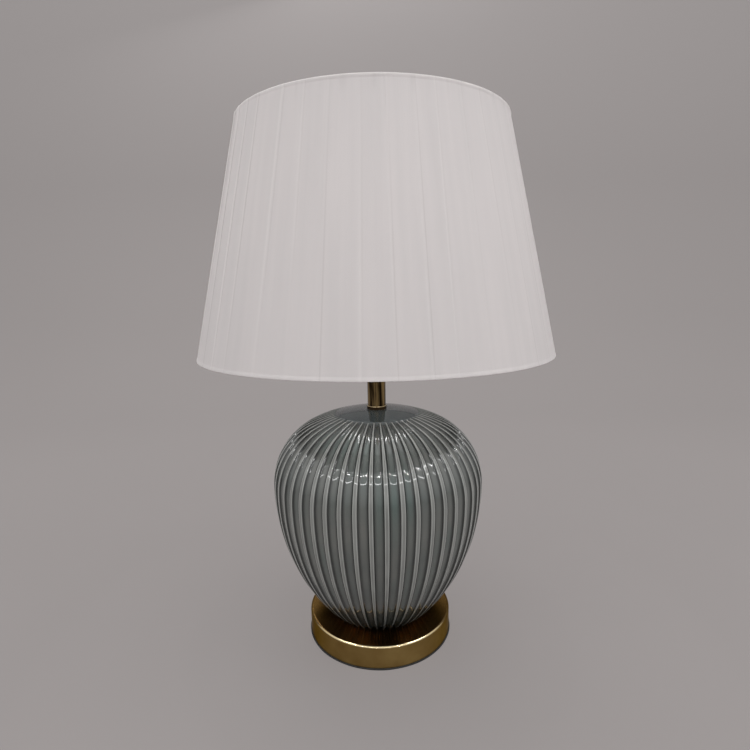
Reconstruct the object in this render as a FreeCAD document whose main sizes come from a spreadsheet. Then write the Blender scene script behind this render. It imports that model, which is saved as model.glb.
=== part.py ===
import FreeCAD, Part
import Sketcher
import math
import os
import re

# Ceramic table lamp: a fluted, glazed body on a round brass base, with a lampholder, a harp
# and a pleated shade. The frame is in millimetres, +Z up, with the origin on the table under
# the middle of the base. The front of the lamp is -Y and the cord leaves the base at +Y.

# Driving sizes. Lengths are in millimetres, turns in degrees.
SIZES = [
    # Base
    ("base_radius", 75.0),
    ("base_height", 24.4),
    ("base_edge", 2.2),
    ("pan_wall", 1.2),
    ("pan_lift", 1.5),
    ("felt_thickness", 2.0),
    ("felt_inset", 0.6),
    ("board_thickness", 1.5),
    ("weight_recess_radius", 50.0),
    ("weight_recess_depth", 11.0),
    ("channel_width", 16.0),
    ("cord_exit_height", 9.4),
    ("bushing_bore", 3.2),
    ("bushing_wall", 1.6),
    ("bushing_length", 9.0),
    ("bushing_flange", 1.7),
    ("bushing_flange_thickness", 1.5),
    # Threaded tube and what it clamps
    ("tube_radius", 5.0),
    ("tube_bore", 3.6),
    ("tube_tail", 2.4),
    ("washer_radius", 16.0),
    ("washer_thickness", 1.6),
    ("nut_flats", 15.0),
    ("base_nut_height", 4.0),
    ("saddle_nut_height", 3.0),
    # Ceramic body: four arcs that meet smoothly, and the flutes between its ribs
    ("belly_radius", 107.5),
    ("lower_arc", 209.6),
    ("foot_turn", 38.0),
    ("foot_arc", 95.8),
    ("foot_end", 49.6),
    ("shoulder_arc", 67.5),
    ("shoulder_turn", 66.5),
    ("cap_arc", 150.0),
    ("ceramic_wall", 6.0),
    ("floor_thickness", 8.0),
    ("foot_ring_width", 9.0),
    ("foot_recess", 1.5),
    ("body_hole", 8.0),
    ("rib_count", 48),
    ("rib_share", 0.3),
    ("rib_depth", 2.2),
    ("flute_end_radius", 44.5),
    ("flute_run_out", 4.0),
    # Neck
    ("neck_radius", 9.3),
    ("neck_wall", 1.0),
    ("neck_length", 44.0),
    ("ring_overhang", 0.8),
    ("ring_height", 3.4),
    ("neck_cap_height", 2.4),
    ("ring_bevel", 0.6),
    # Harp saddle, harp and ferrules
    ("saddle_sheet", 1.4),
    ("saddle_width", 12.0),
    ("saddle_tongue", 6.0),
    ("saddle_shoulder", 9.6),
    ("saddle_height", 22.0),
    ("saddle_bend", 2.6),
    ("harp_wire", 1.8),
    ("harp_leg_offset", 23.5),
    ("harp_hook_height", 5.4),
    ("harp_hook_reach", 1.2),
    ("harp_hook_bend", 2.6),
    ("harp_leg_top", 43.0),
    ("harp_half_width", 54.0),
    ("harp_bow_low", 82.0),
    ("harp_bow_high", 140.0),
    ("harp_top_half_width", 33.0),
    ("harp_height", 200.5),
    ("harp_knee_bend", 40.0),
    ("harp_bow_bend", 60.0),
    ("harp_top_bend", 22.0),
    ("harp_eye_radius", 6.2),
    ("harp_eye_thickness", 3.0),
    ("ferrule_wall", 0.7),
    ("ferrule_length", 12.0),
    # Lampholder
    ("cap_hub_radius", 7.5),
    ("cap_hub_height", 7.0),
    ("cap_flare", 8.0),
    ("cap_flare_arc", 11.0),
    ("cap_radius", 16.6),
    ("cap_height", 22.0),
    ("cap_wall", 0.8),
    ("shell_overlap", 6.0),
    ("shell_wall", 0.6),
    ("shell_length", 44.0),
    ("shell_bead", 0.8),
    ("shell_bead_arc", 0.9),
    ("liner_wall", 0.8),
    ("liner_length", 41.0),
    ("switch_body_height", 20.0),
    ("switch_cavity_radius", 9.0),
    ("switch_cavity_depth", 7.0),
    ("contact_post_radius", 5.0),
    ("contact_post_height", 2.0),
    ("contact_radius", 3.4),
    ("contact_height", 2.4),
    ("screw_shell_wall", 0.4),
    ("screw_shell_length", 22.0),
    ("terminal_depth", 3.2),
    ("terminal_window", 8.0),
    ("terminal_head_radius", 3.0),
    ("terminal_head_height", 1.6),
    ("terminal_shank_radius", 1.6),
    ("terminal_shank_length", 4.0),
    ("spindle_radius", 2.0),
    ("spindle_inner_end", 3.2),
    ("spindle_height", 11.5),
    ("spindle_hole", 3.4),
    ("knob_radius", 6.0),
    ("knob_length", 13.0),
    ("knob_stand_off", 2.6),
    ("knob_end_wall", 3.0),
    ("knob_flutes", 12),
    ("knob_flute_radius", 1.0),
    ("knob_edge", 1.0),
    ("cap_screw_radius", 1.5),
    ("cap_screw_head_radius", 2.6),
    ("cap_screw_head_height", 1.6),
    # Bulb
    ("bulb_length", 108.0),
    ("glass_radius", 30.0),
    ("glass_neck_radius", 13.0),
    ("glass_neck_arc", 35.0),
    ("bulb_cap_radius", 13.2),
    ("bulb_cap_top", 26.5),
    ("bulb_cap_bottom", 5.0),
    ("bulb_cap_taper", 2.6),
    ("bulb_tip_radius", 4.4),
    ("bulb_tip_height", 1.6),
    # Harp stud, shade and finial
    ("stud_shank_radius", 2.0),
    ("stud_rivet_radius", 3.6),
    ("stud_rivet_height", 1.2),
    ("stud_disc_radius", 5.6),
    ("stud_disc_height", 1.4),
    ("stud_thread_radius", 3.15),
    ("stud_thread_length", 12.5),
    ("shade_top_radius", 126.9),
    ("shade_bottom_radius", 172.3),
    ("shade_height", 212.8),
    ("shade_rise", 12.9),
    ("cover_thickness", 1.6),
    ("pleat_depth", 0.9),
    ("pleat_count", 36),
    ("pleat_fold_share", 0.06),
    ("sides_in_pleat", 4),
    ("lining_thickness", 0.8),
    ("lining_inset", 1.0),
    ("ring_wire", 1.6),
    ("ring_inset", 3.0),
    ("hub_radius", 12.0),
    ("hub_thickness", 1.5),
    ("arm_wire", 1.6),
    ("arm_count", 3),
    ("arm_flat_length", 26.0),
    ("arm_tip_length", 12.0),
    ("arm_bend", 16.0),
    ("finial_foot_radius", 6.0),
    ("finial_foot_height", 1.8),
    ("finial_neck_radius", 4.6),
    ("finial_neck_height", 6.6),
    ("finial_ball_radius", 9.0),
    ("finial_tip_radius", 2.4),
    ("finial_tip_height", 3.0),
    # Clearances shared by the whole lamp
    ("hole_gap", 0.4),
    ("fit_gap", 0.1),
    ("running_gap", 0.05),
    ("slide_gap", 0.08),
    ("overrun", 5.0),
]

# Sizes that follow from the driving ones, and the heights at which the pieces stack.
FOLLOWING = [
    ("pan_height", "base_height - pan_lift"),
    ("inside_base", "base_radius - pan_wall - fit_gap"),
    ("weight_bottom", "felt_thickness + board_thickness"),
    ("weight_height", "base_height - pan_wall - weight_bottom"),
    ("tube_hole", "tube_radius + hole_gap"),
    ("base_washer_z", "weight_bottom + weight_recess_depth - washer_thickness"),
    ("base_nut_z", "base_washer_z - base_nut_height"),
    ("tube_z", "base_nut_z - tube_tail"),
    ("belly_height", "lower_arc * sin(foot_turn) + foot_arc * (sin(foot_end) - sin(foot_turn))"),
    ("lower_x", "belly_radius - lower_arc"),
    ("foot_x", "lower_x + (lower_arc - foot_arc) * cos(foot_turn)"),
    ("foot_y", "foot_arc * sin(foot_end)"),
    ("foot_radius", "foot_x + foot_arc * cos(foot_end)"),
    ("shoulder_x", "belly_radius - shoulder_arc"),
    ("cap_x", "shoulder_x + (shoulder_arc - cap_arc) * cos(shoulder_turn)"),
    ("cap_y", "belly_height + (shoulder_arc - cap_arc) * sin(shoulder_turn)"),
    ("cavity_inset", "rib_depth + ceramic_wall"),
    ("ceramic_top", "cap_y + sqrt(cap_arc ^ 2 - (body_hole - cap_x) ^ 2)"),
    ("flute_angle", "360 / rib_count * (1 - rib_share)"),
    ("ring_radius", "neck_radius + ring_overhang"),
    ("ring_z", "base_height + ceramic_top"),
    ("neck_z", "ring_z + ring_height"),
    ("neck_cap_z", "neck_z + neck_length"),
    ("saddle_z", "neck_cap_z + neck_cap_height"),
    ("saddle_nut_z", "saddle_z + saddle_sheet"),
    ("cap_z", "saddle_nut_z + saddle_nut_height"),
    ("tube_length", "cap_z + cap_hub_height - fit_gap - tube_z"),
    ("tongue_face", "harp_leg_offset - harp_hook_bend"),
    ("harp_z", "saddle_z + harp_hook_height"),
    ("ferrule_y", "(tongue_face - saddle_sheet + harp_leg_offset + harp_wire) / 2"),
    ("ferrule_half", "harp_leg_offset + harp_wire - ferrule_y"),
    ("ferrule_bore", "sqrt(ferrule_half ^ 2 + (saddle_tongue / 2) ^ 2) + slide_gap"),
    ("ferrule_z", "saddle_z + saddle_shoulder"),
    ("shell_radius", "cap_radius - cap_wall - fit_gap"),
    ("shell_z", "cap_z + cap_height - shell_overlap"),
    ("liner_radius", "shell_radius - shell_wall - fit_gap"),
    ("switch_radius", "liner_radius - liner_wall - fit_gap"),
    ("switch_z", "shell_z + fit_gap"),
    ("screw_shell_z", "switch_z + switch_body_height"),
    ("contact_z", "screw_shell_z + contact_post_height"),
    ("spindle_z", "switch_z + spindle_height"),
    ("knob_x", "cap_radius + knob_stand_off"),
    ("bulb_z", "contact_z + contact_height"),
    ("glass_y", "bulb_length - glass_radius"),
    ("glass_cosine", "(glass_neck_radius + glass_neck_arc) / (glass_radius + glass_neck_arc)"),
    ("glass_sine", "sqrt(1 - glass_cosine ^ 2)"),
    ("stud_z", "harp_z + harp_height + harp_eye_thickness / 2 + fit_gap"),
    ("hub_z", "stud_z + stud_disc_height"),
    ("shade_z", "hub_z + shade_rise - shade_height"),
    ("shade_slope", "(shade_bottom_radius - shade_top_radius) / shade_height"),
    ("slant_share", "sqrt(1 + shade_slope ^ 2)"),
    ("wall_depth", "cover_thickness + fit_gap + lining_thickness + fit_gap + ring_wire * slant_share"),
    ("top_ring_radius", "shade_top_radius + shade_slope * ring_inset - wall_depth"),
    ("bottom_ring_radius", "shade_bottom_radius - shade_slope * ring_inset - wall_depth"),
    ("ring_rise", "shade_rise - ring_inset - hub_thickness / 2"),
    ("finial_z", "hub_z + hub_thickness"),
]

doc = FreeCAD.newDocument("table_lamp")
sheet = doc.addObject("Spreadsheet::Sheet", "Sizes")
NAMES = {name for name, _ in SIZES + FOLLOWING}


def fill_sheet():
    """Write every size into the sheet, each under its own name."""
    row = 1
    for name, value in SIZES:
        sheet.set("A%d" % row, name)
        sheet.set("B%d" % row, str(value))
        sheet.setAlias("B%d" % row, name)
        row += 1
    for name, formula in FOLLOWING:
        sheet.set("A%d" % row, name)
        sheet.set("B%d" % row, "=" + formula)
        sheet.setAlias("B%d" % row, name)
        row += 1
    doc.recompute()


def full(formula):
    """Turn a formula in plain size names into one that reads them from the sheet."""
    return re.sub(r"[a-z_]+", lambda word: "Sizes." + word.group() if word.group() in NAMES else word.group(),
                  formula)


def value(formula):
    """The present value of a formula, for a first drawing that the constraints then hold."""
    return float(sheet.evalExpression(full(formula)))


def bind(thing, prop, formula):
    thing.setExpression(prop, full(formula))


def new_body(name):
    body = doc.addObject("PartDesign::Body", name)
    body.Label = name
    return body


def place(thing, x="0", y="0", z="0"):
    bind(thing, "Placement.Base.x", x)
    bind(thing, "Placement.Base.y", y)
    bind(thing, "Placement.Base.z", z)
    return thing


def sketch_on(body, role, name):
    """A sketch that lies on one of the body's own origin planes."""
    sketch = body.newObject("Sketcher::SketchObject", name)
    plane = [item for item in body.Origin.OriginFeatures if item.Role == role][0]
    sketch.AttachmentSupport = (plane, [""])
    sketch.MapMode = "FlatFace"
    return sketch


def hold_point(sketch, edge, end, x, y):
    """Hold one point of a sketch at the formulas x and y, measured from the sketch's origin."""
    for kind, formula, axis in (("DistanceX", x, -2), ("DistanceY", y, -1)):
        if formula == "0":
            sketch.addConstraint(Sketcher.Constraint("PointOnObject", edge, end, axis))
            continue
        index = sketch.addConstraint(Sketcher.Constraint(kind, -1, 1, edge, end, value(formula)))
        bind(sketch, "Constraints[%d]" % index, formula)


def arc_between(start, end, radius):
    """The short arc from start to end. A positive radius turns left, a negative one turns right."""
    chord = end - start
    half = chord.Length / 2
    left = FreeCAD.Vector(-chord.y, chord.x, 0).normalize()
    side = math.copysign(1, radius)
    centre = (start + end) / 2 + left * side * math.sqrt(max(radius * radius - half * half, 0))
    first, last = (start, end) if radius > 0 else (end, start)
    first_turn = math.atan2(first.y - centre.y, first.x - centre.x)
    last_turn = math.atan2(last.y - centre.y, last.x - centre.x)
    if last_turn < first_turn:
        last_turn += 2 * math.pi
    circle = Part.Circle(centre, FreeCAD.Vector(0, 0, 1), abs(radius))
    return Part.ArcOfCircle(circle, first_turn, last_turn)


def outline(body, role, corners, name="Outline"):
    """Draw a closed outline. A corner is (x, y), or (x, y, radius) where an arc leaves it."""
    sketch = sketch_on(body, role, name)
    points = [FreeCAD.Vector(value(corner[0]), value(corner[1]), 0) for corner in corners]
    ends = []
    for index, corner in enumerate(corners):
        start = points[index]
        end = points[(index + 1) % len(points)]
        if len(corner) == 2:
            edge = sketch.addGeometry(Part.LineSegment(start, end), False)
            ends.append((edge, 1, 2))
            continue
        radius = value(corner[2])
        edge = sketch.addGeometry(arc_between(start, end, radius), False)
        ends.append((edge, 1, 2) if radius > 0 else (edge, 2, 1))
        held = sketch.addConstraint(Sketcher.Constraint("Radius", edge, abs(radius)))
        bind(sketch, "Constraints[%d]" % held, "abs(%s)" % corner[2])
    for index, corner in enumerate(corners):
        edge, start, _ = ends[index]
        before, _, end = ends[index - 1]
        sketch.addConstraint(Sketcher.Constraint("Coincident", before, end, edge, start))
        hold_point(sketch, edge, start, corner[0], corner[1])
    return sketch


def circles(body, role, rounds, name="Circles"):
    """Draw circles, each given as (x, y, radius)."""
    sketch = sketch_on(body, role, name)
    for x, y, radius in rounds:
        centre = FreeCAD.Vector(value(x), value(y), 0)
        edge = sketch.addGeometry(Part.Circle(centre, FreeCAD.Vector(0, 0, 1), value(radius)), False)
        held = sketch.addConstraint(Sketcher.Constraint("Radius", edge, value(radius)))
        bind(sketch, "Constraints[%d]" % held, radius)
        hold_point(sketch, edge, 3, x, y)
    return sketch


def route(body, role, start, corners, end, name="Route"):
    """Draw an open path of straight runs. Each corner (x, y, radius) is rounded by a tangent arc."""
    sketch = sketch_on(body, role, name)
    stops = [start] + [corner[:2] for corner in corners] + [end]
    points = [FreeCAD.Vector(value(x), value(y), 0) for x, y in stops]
    run_start = points[0]
    lines = []
    arcs = []
    for index, corner in enumerate(corners):
        here = points[index + 1]
        back = (points[index] - here).normalize()
        ahead = (points[index + 2] - here).normalize()
        radius = value(corner[2])
        setback = radius / math.tan(back.getAngle(ahead) / 2)
        lines.append(sketch.addGeometry(Part.LineSegment(run_start, here + back * setback), False))
        turn = back.cross(ahead).z
        bend = arc_between(here + back * setback, here + ahead * setback, -math.copysign(radius, turn))
        arcs.append((sketch.addGeometry(bend, False), turn))
        run_start = here + ahead * setback
    lines.append(sketch.addGeometry(Part.LineSegment(run_start, points[-1]), False))
    for index, (arc, turn) in enumerate(arcs):
        first, last = (1, 2) if turn < 0 else (2, 1)
        sketch.addConstraint(Sketcher.Constraint("Tangent", lines[index], 2, arc, first))
        sketch.addConstraint(Sketcher.Constraint("Tangent", arc, last, lines[index + 1], 1))
        x, y, radius = corners[index]
        held = sketch.addConstraint(Sketcher.Constraint("Radius", arc, value(radius)))
        bind(sketch, "Constraints[%d]" % held, radius)
        corner = sketch.addGeometry(Part.Point(points[index + 1]), True)
        hold_point(sketch, corner, 1, x, y)
        sketch.addConstraint(Sketcher.Constraint("PointOnObject", corner, 1, lines[index]))
        sketch.addConstraint(Sketcher.Constraint("PointOnObject", corner, 1, lines[index + 1]))
    hold_point(sketch, lines[0], 1, start[0], start[1])
    hold_point(sketch, lines[-1], 2, end[0], end[1])
    return sketch


def turn_solid(body, corners):
    """Turn an outline about the body's own upright axis."""
    sketch = outline(body, "XZ_Plane", corners, "Section")
    feature = body.newObject("PartDesign::Revolution", "Turn")
    feature.Profile = sketch
    feature.ReferenceAxis = (sketch, ["V_Axis"])
    return feature


def turned(name, corners, x="0", y="0", z="0"):
    body = new_body(name)
    turn_solid(body, corners)
    return place(body, x, y, z)


def pad(body, sketch, length, middle=False, name="Pad"):
    feature = body.newObject("PartDesign::Pad", name)
    feature.Profile = sketch
    bind(feature, "Length", length)
    if middle:
        feature.SideType = "Symmetric"
    return feature


def pocket(body, sketch, length=None, forward=True, name="Pocket"):
    """Cut a sketch out of the body, along its plane's normal or back, and check that it cuts."""
    doc.recompute()
    before = body.Shape.Volume
    feature = body.newObject("PartDesign::Pocket", name)
    feature.Profile = sketch
    feature.Reversed = forward
    if length:
        bind(feature, "Length", length)
    else:
        feature.Type = "ThroughAll"
    doc.recompute()
    if body.Shape.Volume >= before:
        raise RuntimeError("%s cuts nothing from %s" % (name, body.Label))
    return feature


def around(body, feature, count, name="Around"):
    """Repeat a feature at even turns about the body's own upright axis."""
    doc.recompute()
    pattern = body.newObject("PartDesign::PolarPattern", name)
    pattern.Originals = [feature]
    pattern.Axis = (body.Origin.OriginFeatures[2], [""])
    bind(pattern, "Occurrences", count)
    body.Tip = pattern
    return pattern


def washer(name, bore, radius, height, z):
    return turned(name, [(bore, "0"), (radius, "0"), (radius, height), (bore, height)], z=z)


def bevelled_ring(name, bore, radius, height, z):
    """A turned ring with a small bevel round its upper outside edge."""
    return turned(name, [
        (bore, "0"),
        (radius, "0"),
        (radius, height + " - ring_bevel"),
        (radius + " - ring_bevel", height),
        (bore, height)], z=z)


def hex_nut(name, bore, flats, height, z):
    body = new_body(name)
    corners = [("%s / 2 / cos(30) * cos(%d)" % (flats, turn), "%s / 2 / cos(30) * sin(%d)" % (flats, turn))
               for turn in range(0, 360, 60)]
    corners = [(x, "0" if turn % 180 == 0 else y) for (x, y), turn in zip(corners, range(0, 360, 60))]
    sketch = outline(body, "XY_Plane", corners, "Hexagon")
    pad(body, sketch, height)
    pocket(body, circles(body, "XY_Plane", [("0", "0", bore)], "Bore"))
    return place(body, z=z)


def base_pan():
    """Spun metal cover of the base, with a rounded upper edge and the cord's hole in its rear wall."""
    body = new_body("base_pan")
    inner = "base_radius - pan_wall"
    turn_solid(body, [
        (inner, "0"),
        ("base_radius", "0"),
        ("base_radius", "pan_height - base_edge", "base_edge"),
        ("base_radius - base_edge", "pan_height"),
        ("tube_hole", "pan_height"),
        ("tube_hole", "pan_height - pan_wall"),
        (inner, "pan_height - pan_wall")])
    hole = [("0", "cord_exit_height - pan_lift", "bushing_bore + bushing_wall + fit_gap")]
    pocket(body, circles(body, "XZ_Plane", hole, "CordHole"), forward=False, name="CordHole")
    return place(body, z="pan_lift")


def base_weight():
    """Cast disc that fills the pan, hollowed underneath for the nut, with a channel for the cord."""
    body = new_body("base_weight")
    turn_solid(body, [
        ("weight_recess_radius", "0"),
        ("inside_base", "0"),
        ("inside_base", "weight_height"),
        ("tube_hole", "weight_height"),
        ("tube_hole", "weight_recess_depth"),
        ("weight_recess_radius", "weight_recess_depth")])
    channel = outline(body, "XZ_Plane", [
        ("-channel_width / 2", "0"),
        ("channel_width / 2", "0"),
        ("channel_width / 2", "weight_recess_depth"),
        ("-channel_width / 2", "weight_recess_depth")], "Channel")
    pocket(body, channel, forward=False, name="CordChannel")
    return place(body, z="weight_bottom")


def base_pieces():
    """The pan and what fills it: felt, board, weight and the bushing in the cord's hole."""
    turned("felt_pad", [
        ("0", "0"),
        ("inside_base - felt_inset", "0"),
        ("inside_base - felt_inset", "felt_thickness"),
        ("0", "felt_thickness")])
    turned("base_board", [
        ("0", "0"),
        ("inside_base", "0"),
        ("inside_base", "board_thickness"),
        ("0", "board_thickness")], z="felt_thickness")
    base_weight()
    base_pan()
    bushing = turned("cord_bushing", [
        ("bushing_bore", "-bushing_length"),
        ("bushing_bore + bushing_wall", "-bushing_length"),
        ("bushing_bore + bushing_wall", "0"),
        ("bushing_bore + bushing_wall + bushing_flange", "0"),
        ("bushing_bore + bushing_wall + bushing_flange", "bushing_flange_thickness / 2"),
        ("bushing_bore + bushing_wall", "bushing_flange_thickness"),
        ("bushing_bore", "bushing_flange_thickness")],
        y="base_radius + fit_gap", z="cord_exit_height")
    bushing.Placement.Rotation = FreeCAD.Rotation(FreeCAD.Vector(1, 0, 0), -90)


def stack_pieces():
    """The threaded tube and the nuts and washer that clamp the lamp together along it."""
    washer("base_washer", "tube_hole", "washer_radius", "washer_thickness", "base_washer_z")
    hex_nut("base_nut", "tube_radius + running_gap", "nut_flats", "base_nut_height", "base_nut_z")
    washer("threaded_tube", "tube_bore", "tube_radius", "tube_length", "tube_z")
    hex_nut("saddle_nut", "tube_radius + running_gap", "nut_flats", "saddle_nut_height", "saddle_nut_z")


def shell_point(arc, x, y, inset, turn):
    """A point of one of the ceramic's arcs, moved in from the rib crests by an inset."""
    radius = "(%s - %s)" % (arc, inset)
    return ("%s + %s * cos(%s)" % (x, radius, turn), "%s + %s * sin(%s)" % (y, radius, turn))


def lower_joint(inset, turn="-foot_turn"):
    return shell_point("lower_arc", "lower_x", "belly_height", inset, turn)


def shoulder_joint(inset, turn="shoulder_turn"):
    return shell_point("shoulder_arc", "shoulder_x", "belly_height", inset, turn)


def foot_at(inset, height):
    """Where the foot arc, moved in by an inset, crosses a height above the ceramic's underside."""
    return "foot_x + sqrt((foot_arc - %s) ^ 2 - (foot_y - %s) ^ 2)" % (inset, height)


def cap_at(inset, radius):
    """Height of the cap arc, moved in by an inset, at a radius from the axis."""
    return "cap_y + sqrt((cap_arc - %s) ^ 2 - (%s - cap_x) ^ 2)" % (inset, radius)


def upward(inset):
    """The ceramic's side from foot to cap: the corners where its arcs begin, going up."""
    return [
        (foot_at(inset, "0"), "0", "foot_arc - %s" % inset),
        lower_joint(inset) + ("lower_arc - %s" % inset,),
        ("belly_radius - %s" % inset, "belly_height", "shoulder_arc - %s" % inset),
        shoulder_joint(inset) + ("cap_arc - %s" % inset,)]


def downward(inset):
    """The same side from cap to foot, after a corner on the cap arc."""
    return [
        shoulder_joint(inset) + ("-(shoulder_arc - %s)" % inset,),
        ("belly_radius - %s" % inset, "belly_height", "-(lower_arc - %s)" % inset),
        lower_joint(inset) + ("-(foot_arc - %s)" % inset,)]


def ceramic_body():
    """Hollow ceramic body. Wide flutes are cut between narrow upright ribs from foot to cap."""
    body = new_body("ceramic_body")
    inner = "cavity_inset"
    floor = "floor_thickness"
    turn_solid(body, [
        ("body_hole", "foot_recess"),
        ("foot_radius - foot_ring_width", "foot_recess"),
        ("foot_radius - foot_ring_width", "0")] + upward("0") + [
        ("body_hole", cap_at("0", "body_hole")),
        ("body_hole", cap_at(inner, "body_hole")),
        shoulder_joint(inner),
        shoulder_joint(inner, "shoulder_turn / 2"),
        ("belly_radius - cavity_inset", "belly_height"),
        lower_joint(inner, "-foot_turn / 2"),
        lower_joint(inner),
        (foot_at(inner, floor), floor),
        ("body_hole", floor)])
    run_out = "flute_end_radius + flute_run_out"
    crest = cap_at("0", "flute_end_radius")
    clear = "belly_radius + overrun"
    section = outline(body, "XZ_Plane", [
        (run_out, cap_at("rib_depth", run_out), "-(cap_arc - rib_depth)")] + downward("rib_depth") + [
        (foot_at("rib_depth", "0"), "0"),
        (foot_at("rib_depth", "0"), "-overrun"),
        (clear, "-overrun"),
        (clear, crest + " + overrun"),
        ("flute_end_radius", crest + " + overrun"),
        ("flute_end_radius", crest)], "FluteSection")
    flute = body.newObject("PartDesign::Groove", "Flute")
    flute.Profile = section
    flute.ReferenceAxis = (section, ["V_Axis"])
    bind(flute, "Angle", "flute_angle")
    flute.Midplane = True
    around(body, flute, "rib_count", "Flutes")
    return place(body, z="base_height")


def neck_pieces():
    bevelled_ring("neck_ring", "tube_hole", "ring_radius", "ring_height", "ring_z")
    washer("neck_tube", "neck_radius - neck_wall", "neck_radius", "neck_length", "neck_z")
    bevelled_ring("neck_cap", "tube_hole", "ring_radius", "neck_cap_height", "neck_cap_z")


def harp_saddle():
    """Bent strip under the lampholder. Its two upright tongues carry the harp's legs."""
    body = new_body("harp_saddle")
    face = "tongue_face"
    bend = "saddle_bend"
    inside = "saddle_bend - saddle_sheet"
    section = outline(body, "YZ_Plane", [
        ("-(%s - %s)" % (face, bend), "0"),
        ("%s - %s" % (face, bend), "0", bend),
        (face, bend),
        (face, "saddle_height"),
        (face + " - saddle_sheet", "saddle_height"),
        (face + " - saddle_sheet", bend, "-(%s)" % inside),
        ("%s - %s" % (face, bend), "saddle_sheet"),
        ("-(%s - %s)" % (face, bend), "saddle_sheet", "-(%s)" % inside),
        ("-(%s - saddle_sheet)" % face, bend),
        ("-(%s - saddle_sheet)" % face, "saddle_height"),
        ("-(%s)" % face, "saddle_height"),
        ("-(%s)" % face, bend, bend)], "Strip")
    pad(body, section, "saddle_width", middle=True)
    for side in ("", "-"):
        edge = outline(body, "XZ_Plane", [
            ("%s(saddle_tongue / 2)" % side, "saddle_shoulder"),
            ("%s(saddle_width / 2 + overrun)" % side, "saddle_shoulder"),
            ("%s(saddle_width / 2 + overrun)" % side, "saddle_height + overrun"),
            ("%s(saddle_tongue / 2)" % side, "saddle_height + overrun")], "Shoulder")
        shoulder = pocket(body, edge, name="Shoulders")
        shoulder.SideType = "Two sides"
        shoulder.Type2 = "ThroughAll"
    hook = [("0", "harp_hook_height", "harp_wire + slide_gap")]
    hooks = pocket(body, circles(body, "XZ_Plane", hook, "HookHoles"), name="HookHoles")
    hooks.SideType = "Two sides"
    hooks.Type2 = "ThroughAll"
    pocket(body, circles(body, "XY_Plane", [("0", "0", "tube_hole")], "TubeHole"), name="TubeHole")
    return place(body, z="saddle_z")


def harp_loop():
    """Bent wire harp. Each leg ends in a hook through its tongue, and the top carries a flat eye."""
    body = new_body("harp_loop")
    hook_end = "tongue_face - saddle_sheet - harp_hook_reach"
    path = route(body, "YZ_Plane", ("0", "harp_height"), [
        ("harp_top_half_width", "harp_height", "harp_top_bend"),
        ("harp_half_width", "harp_bow_high", "harp_bow_bend"),
        ("harp_half_width", "harp_bow_low", "harp_knee_bend"),
        ("harp_leg_offset", "harp_leg_top", "harp_knee_bend"),
        ("harp_leg_offset", "0", "harp_hook_bend")], (hook_end, "0"))
    wire = circles(body, "XZ_Plane", [("0", "harp_height", "harp_wire")], "Wire")
    half = body.newObject("PartDesign::AdditivePipe", "HalfLoop")
    half.Profile = wire
    half.Spine = (path, [])
    doc.recompute()
    loop = body.newObject("PartDesign::Mirrored", "WholeLoop")
    loop.Originals = [half]
    loop.MirrorPlane = ([item for item in body.Origin.OriginFeatures if item.Role == "XZ_Plane"][0], [""])
    body.Tip = loop
    doc.recompute()
    eye = circles(body, "XY_Plane", [("0", "0", "harp_eye_radius")], "Eye")
    bind(eye, "AttachmentOffset.Base.z", "harp_height - harp_eye_thickness / 2")
    clear = circles(body, "XY_Plane", [("0", "0", "harp_eye_radius")], "EyeRoom")
    bind(clear, "AttachmentOffset.Base.z", "harp_height - harp_wire - overrun")
    pocket(body, clear, "harp_wire * 2 + overrun * 2", name="EyeRoom")
    pad(body, eye, "harp_eye_thickness", name="EyeDisc")
    rivet = circles(body, "XY_Plane", [("0", "0", "stud_shank_radius + running_gap")], "RivetHole")
    pocket(body, rivet, name="RivetHole")
    return place(body, z="harp_z")


def ferrules():
    """Sleeves that slide down over tongue and leg and lock the harp."""
    for name, side in (("rear_ferrule", ""), ("front_ferrule", "-")):
        turned(name, [
            ("ferrule_bore", "0"),
            ("ferrule_bore + ferrule_wall", "0"),
            ("ferrule_bore + ferrule_wall", "ferrule_length"),
            ("ferrule_bore", "ferrule_length")], y=side + "ferrule_y", z="ferrule_z")


def socket_cap():
    """Cup that screws onto the threaded tube, with a flared bottom and a side screw hole."""
    body = new_body("socket_cap")
    skirt = "cap_hub_height + cap_flare"
    turn_solid(body, [
        ("tube_radius + running_gap", "0"),
        ("cap_hub_radius", "0"),
        ("cap_hub_radius", "cap_hub_height", "cap_flare_arc"),
        ("cap_radius", skirt),
        ("cap_radius", "cap_height"),
        ("cap_radius - cap_wall", "cap_height"),
        ("cap_radius - cap_wall", skirt, "-(cap_flare_arc - cap_wall)"),
        ("cap_hub_radius", "cap_hub_height + cap_wall"),
        ("tube_radius + running_gap", "cap_hub_height + cap_wall")])
    hole = circles(body, "YZ_Plane", [("0", "cap_hub_height / 2", "cap_screw_radius + running_gap")])
    pocket(body, hole, name="ScrewHole")
    return place(body, z="cap_z")


def on_x(body, turn=90):
    """Lay a piece that was turned about the upright axis along X."""
    body.Placement.Rotation = FreeCAD.Rotation(FreeCAD.Vector(0, 1, 0), turn)


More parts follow.
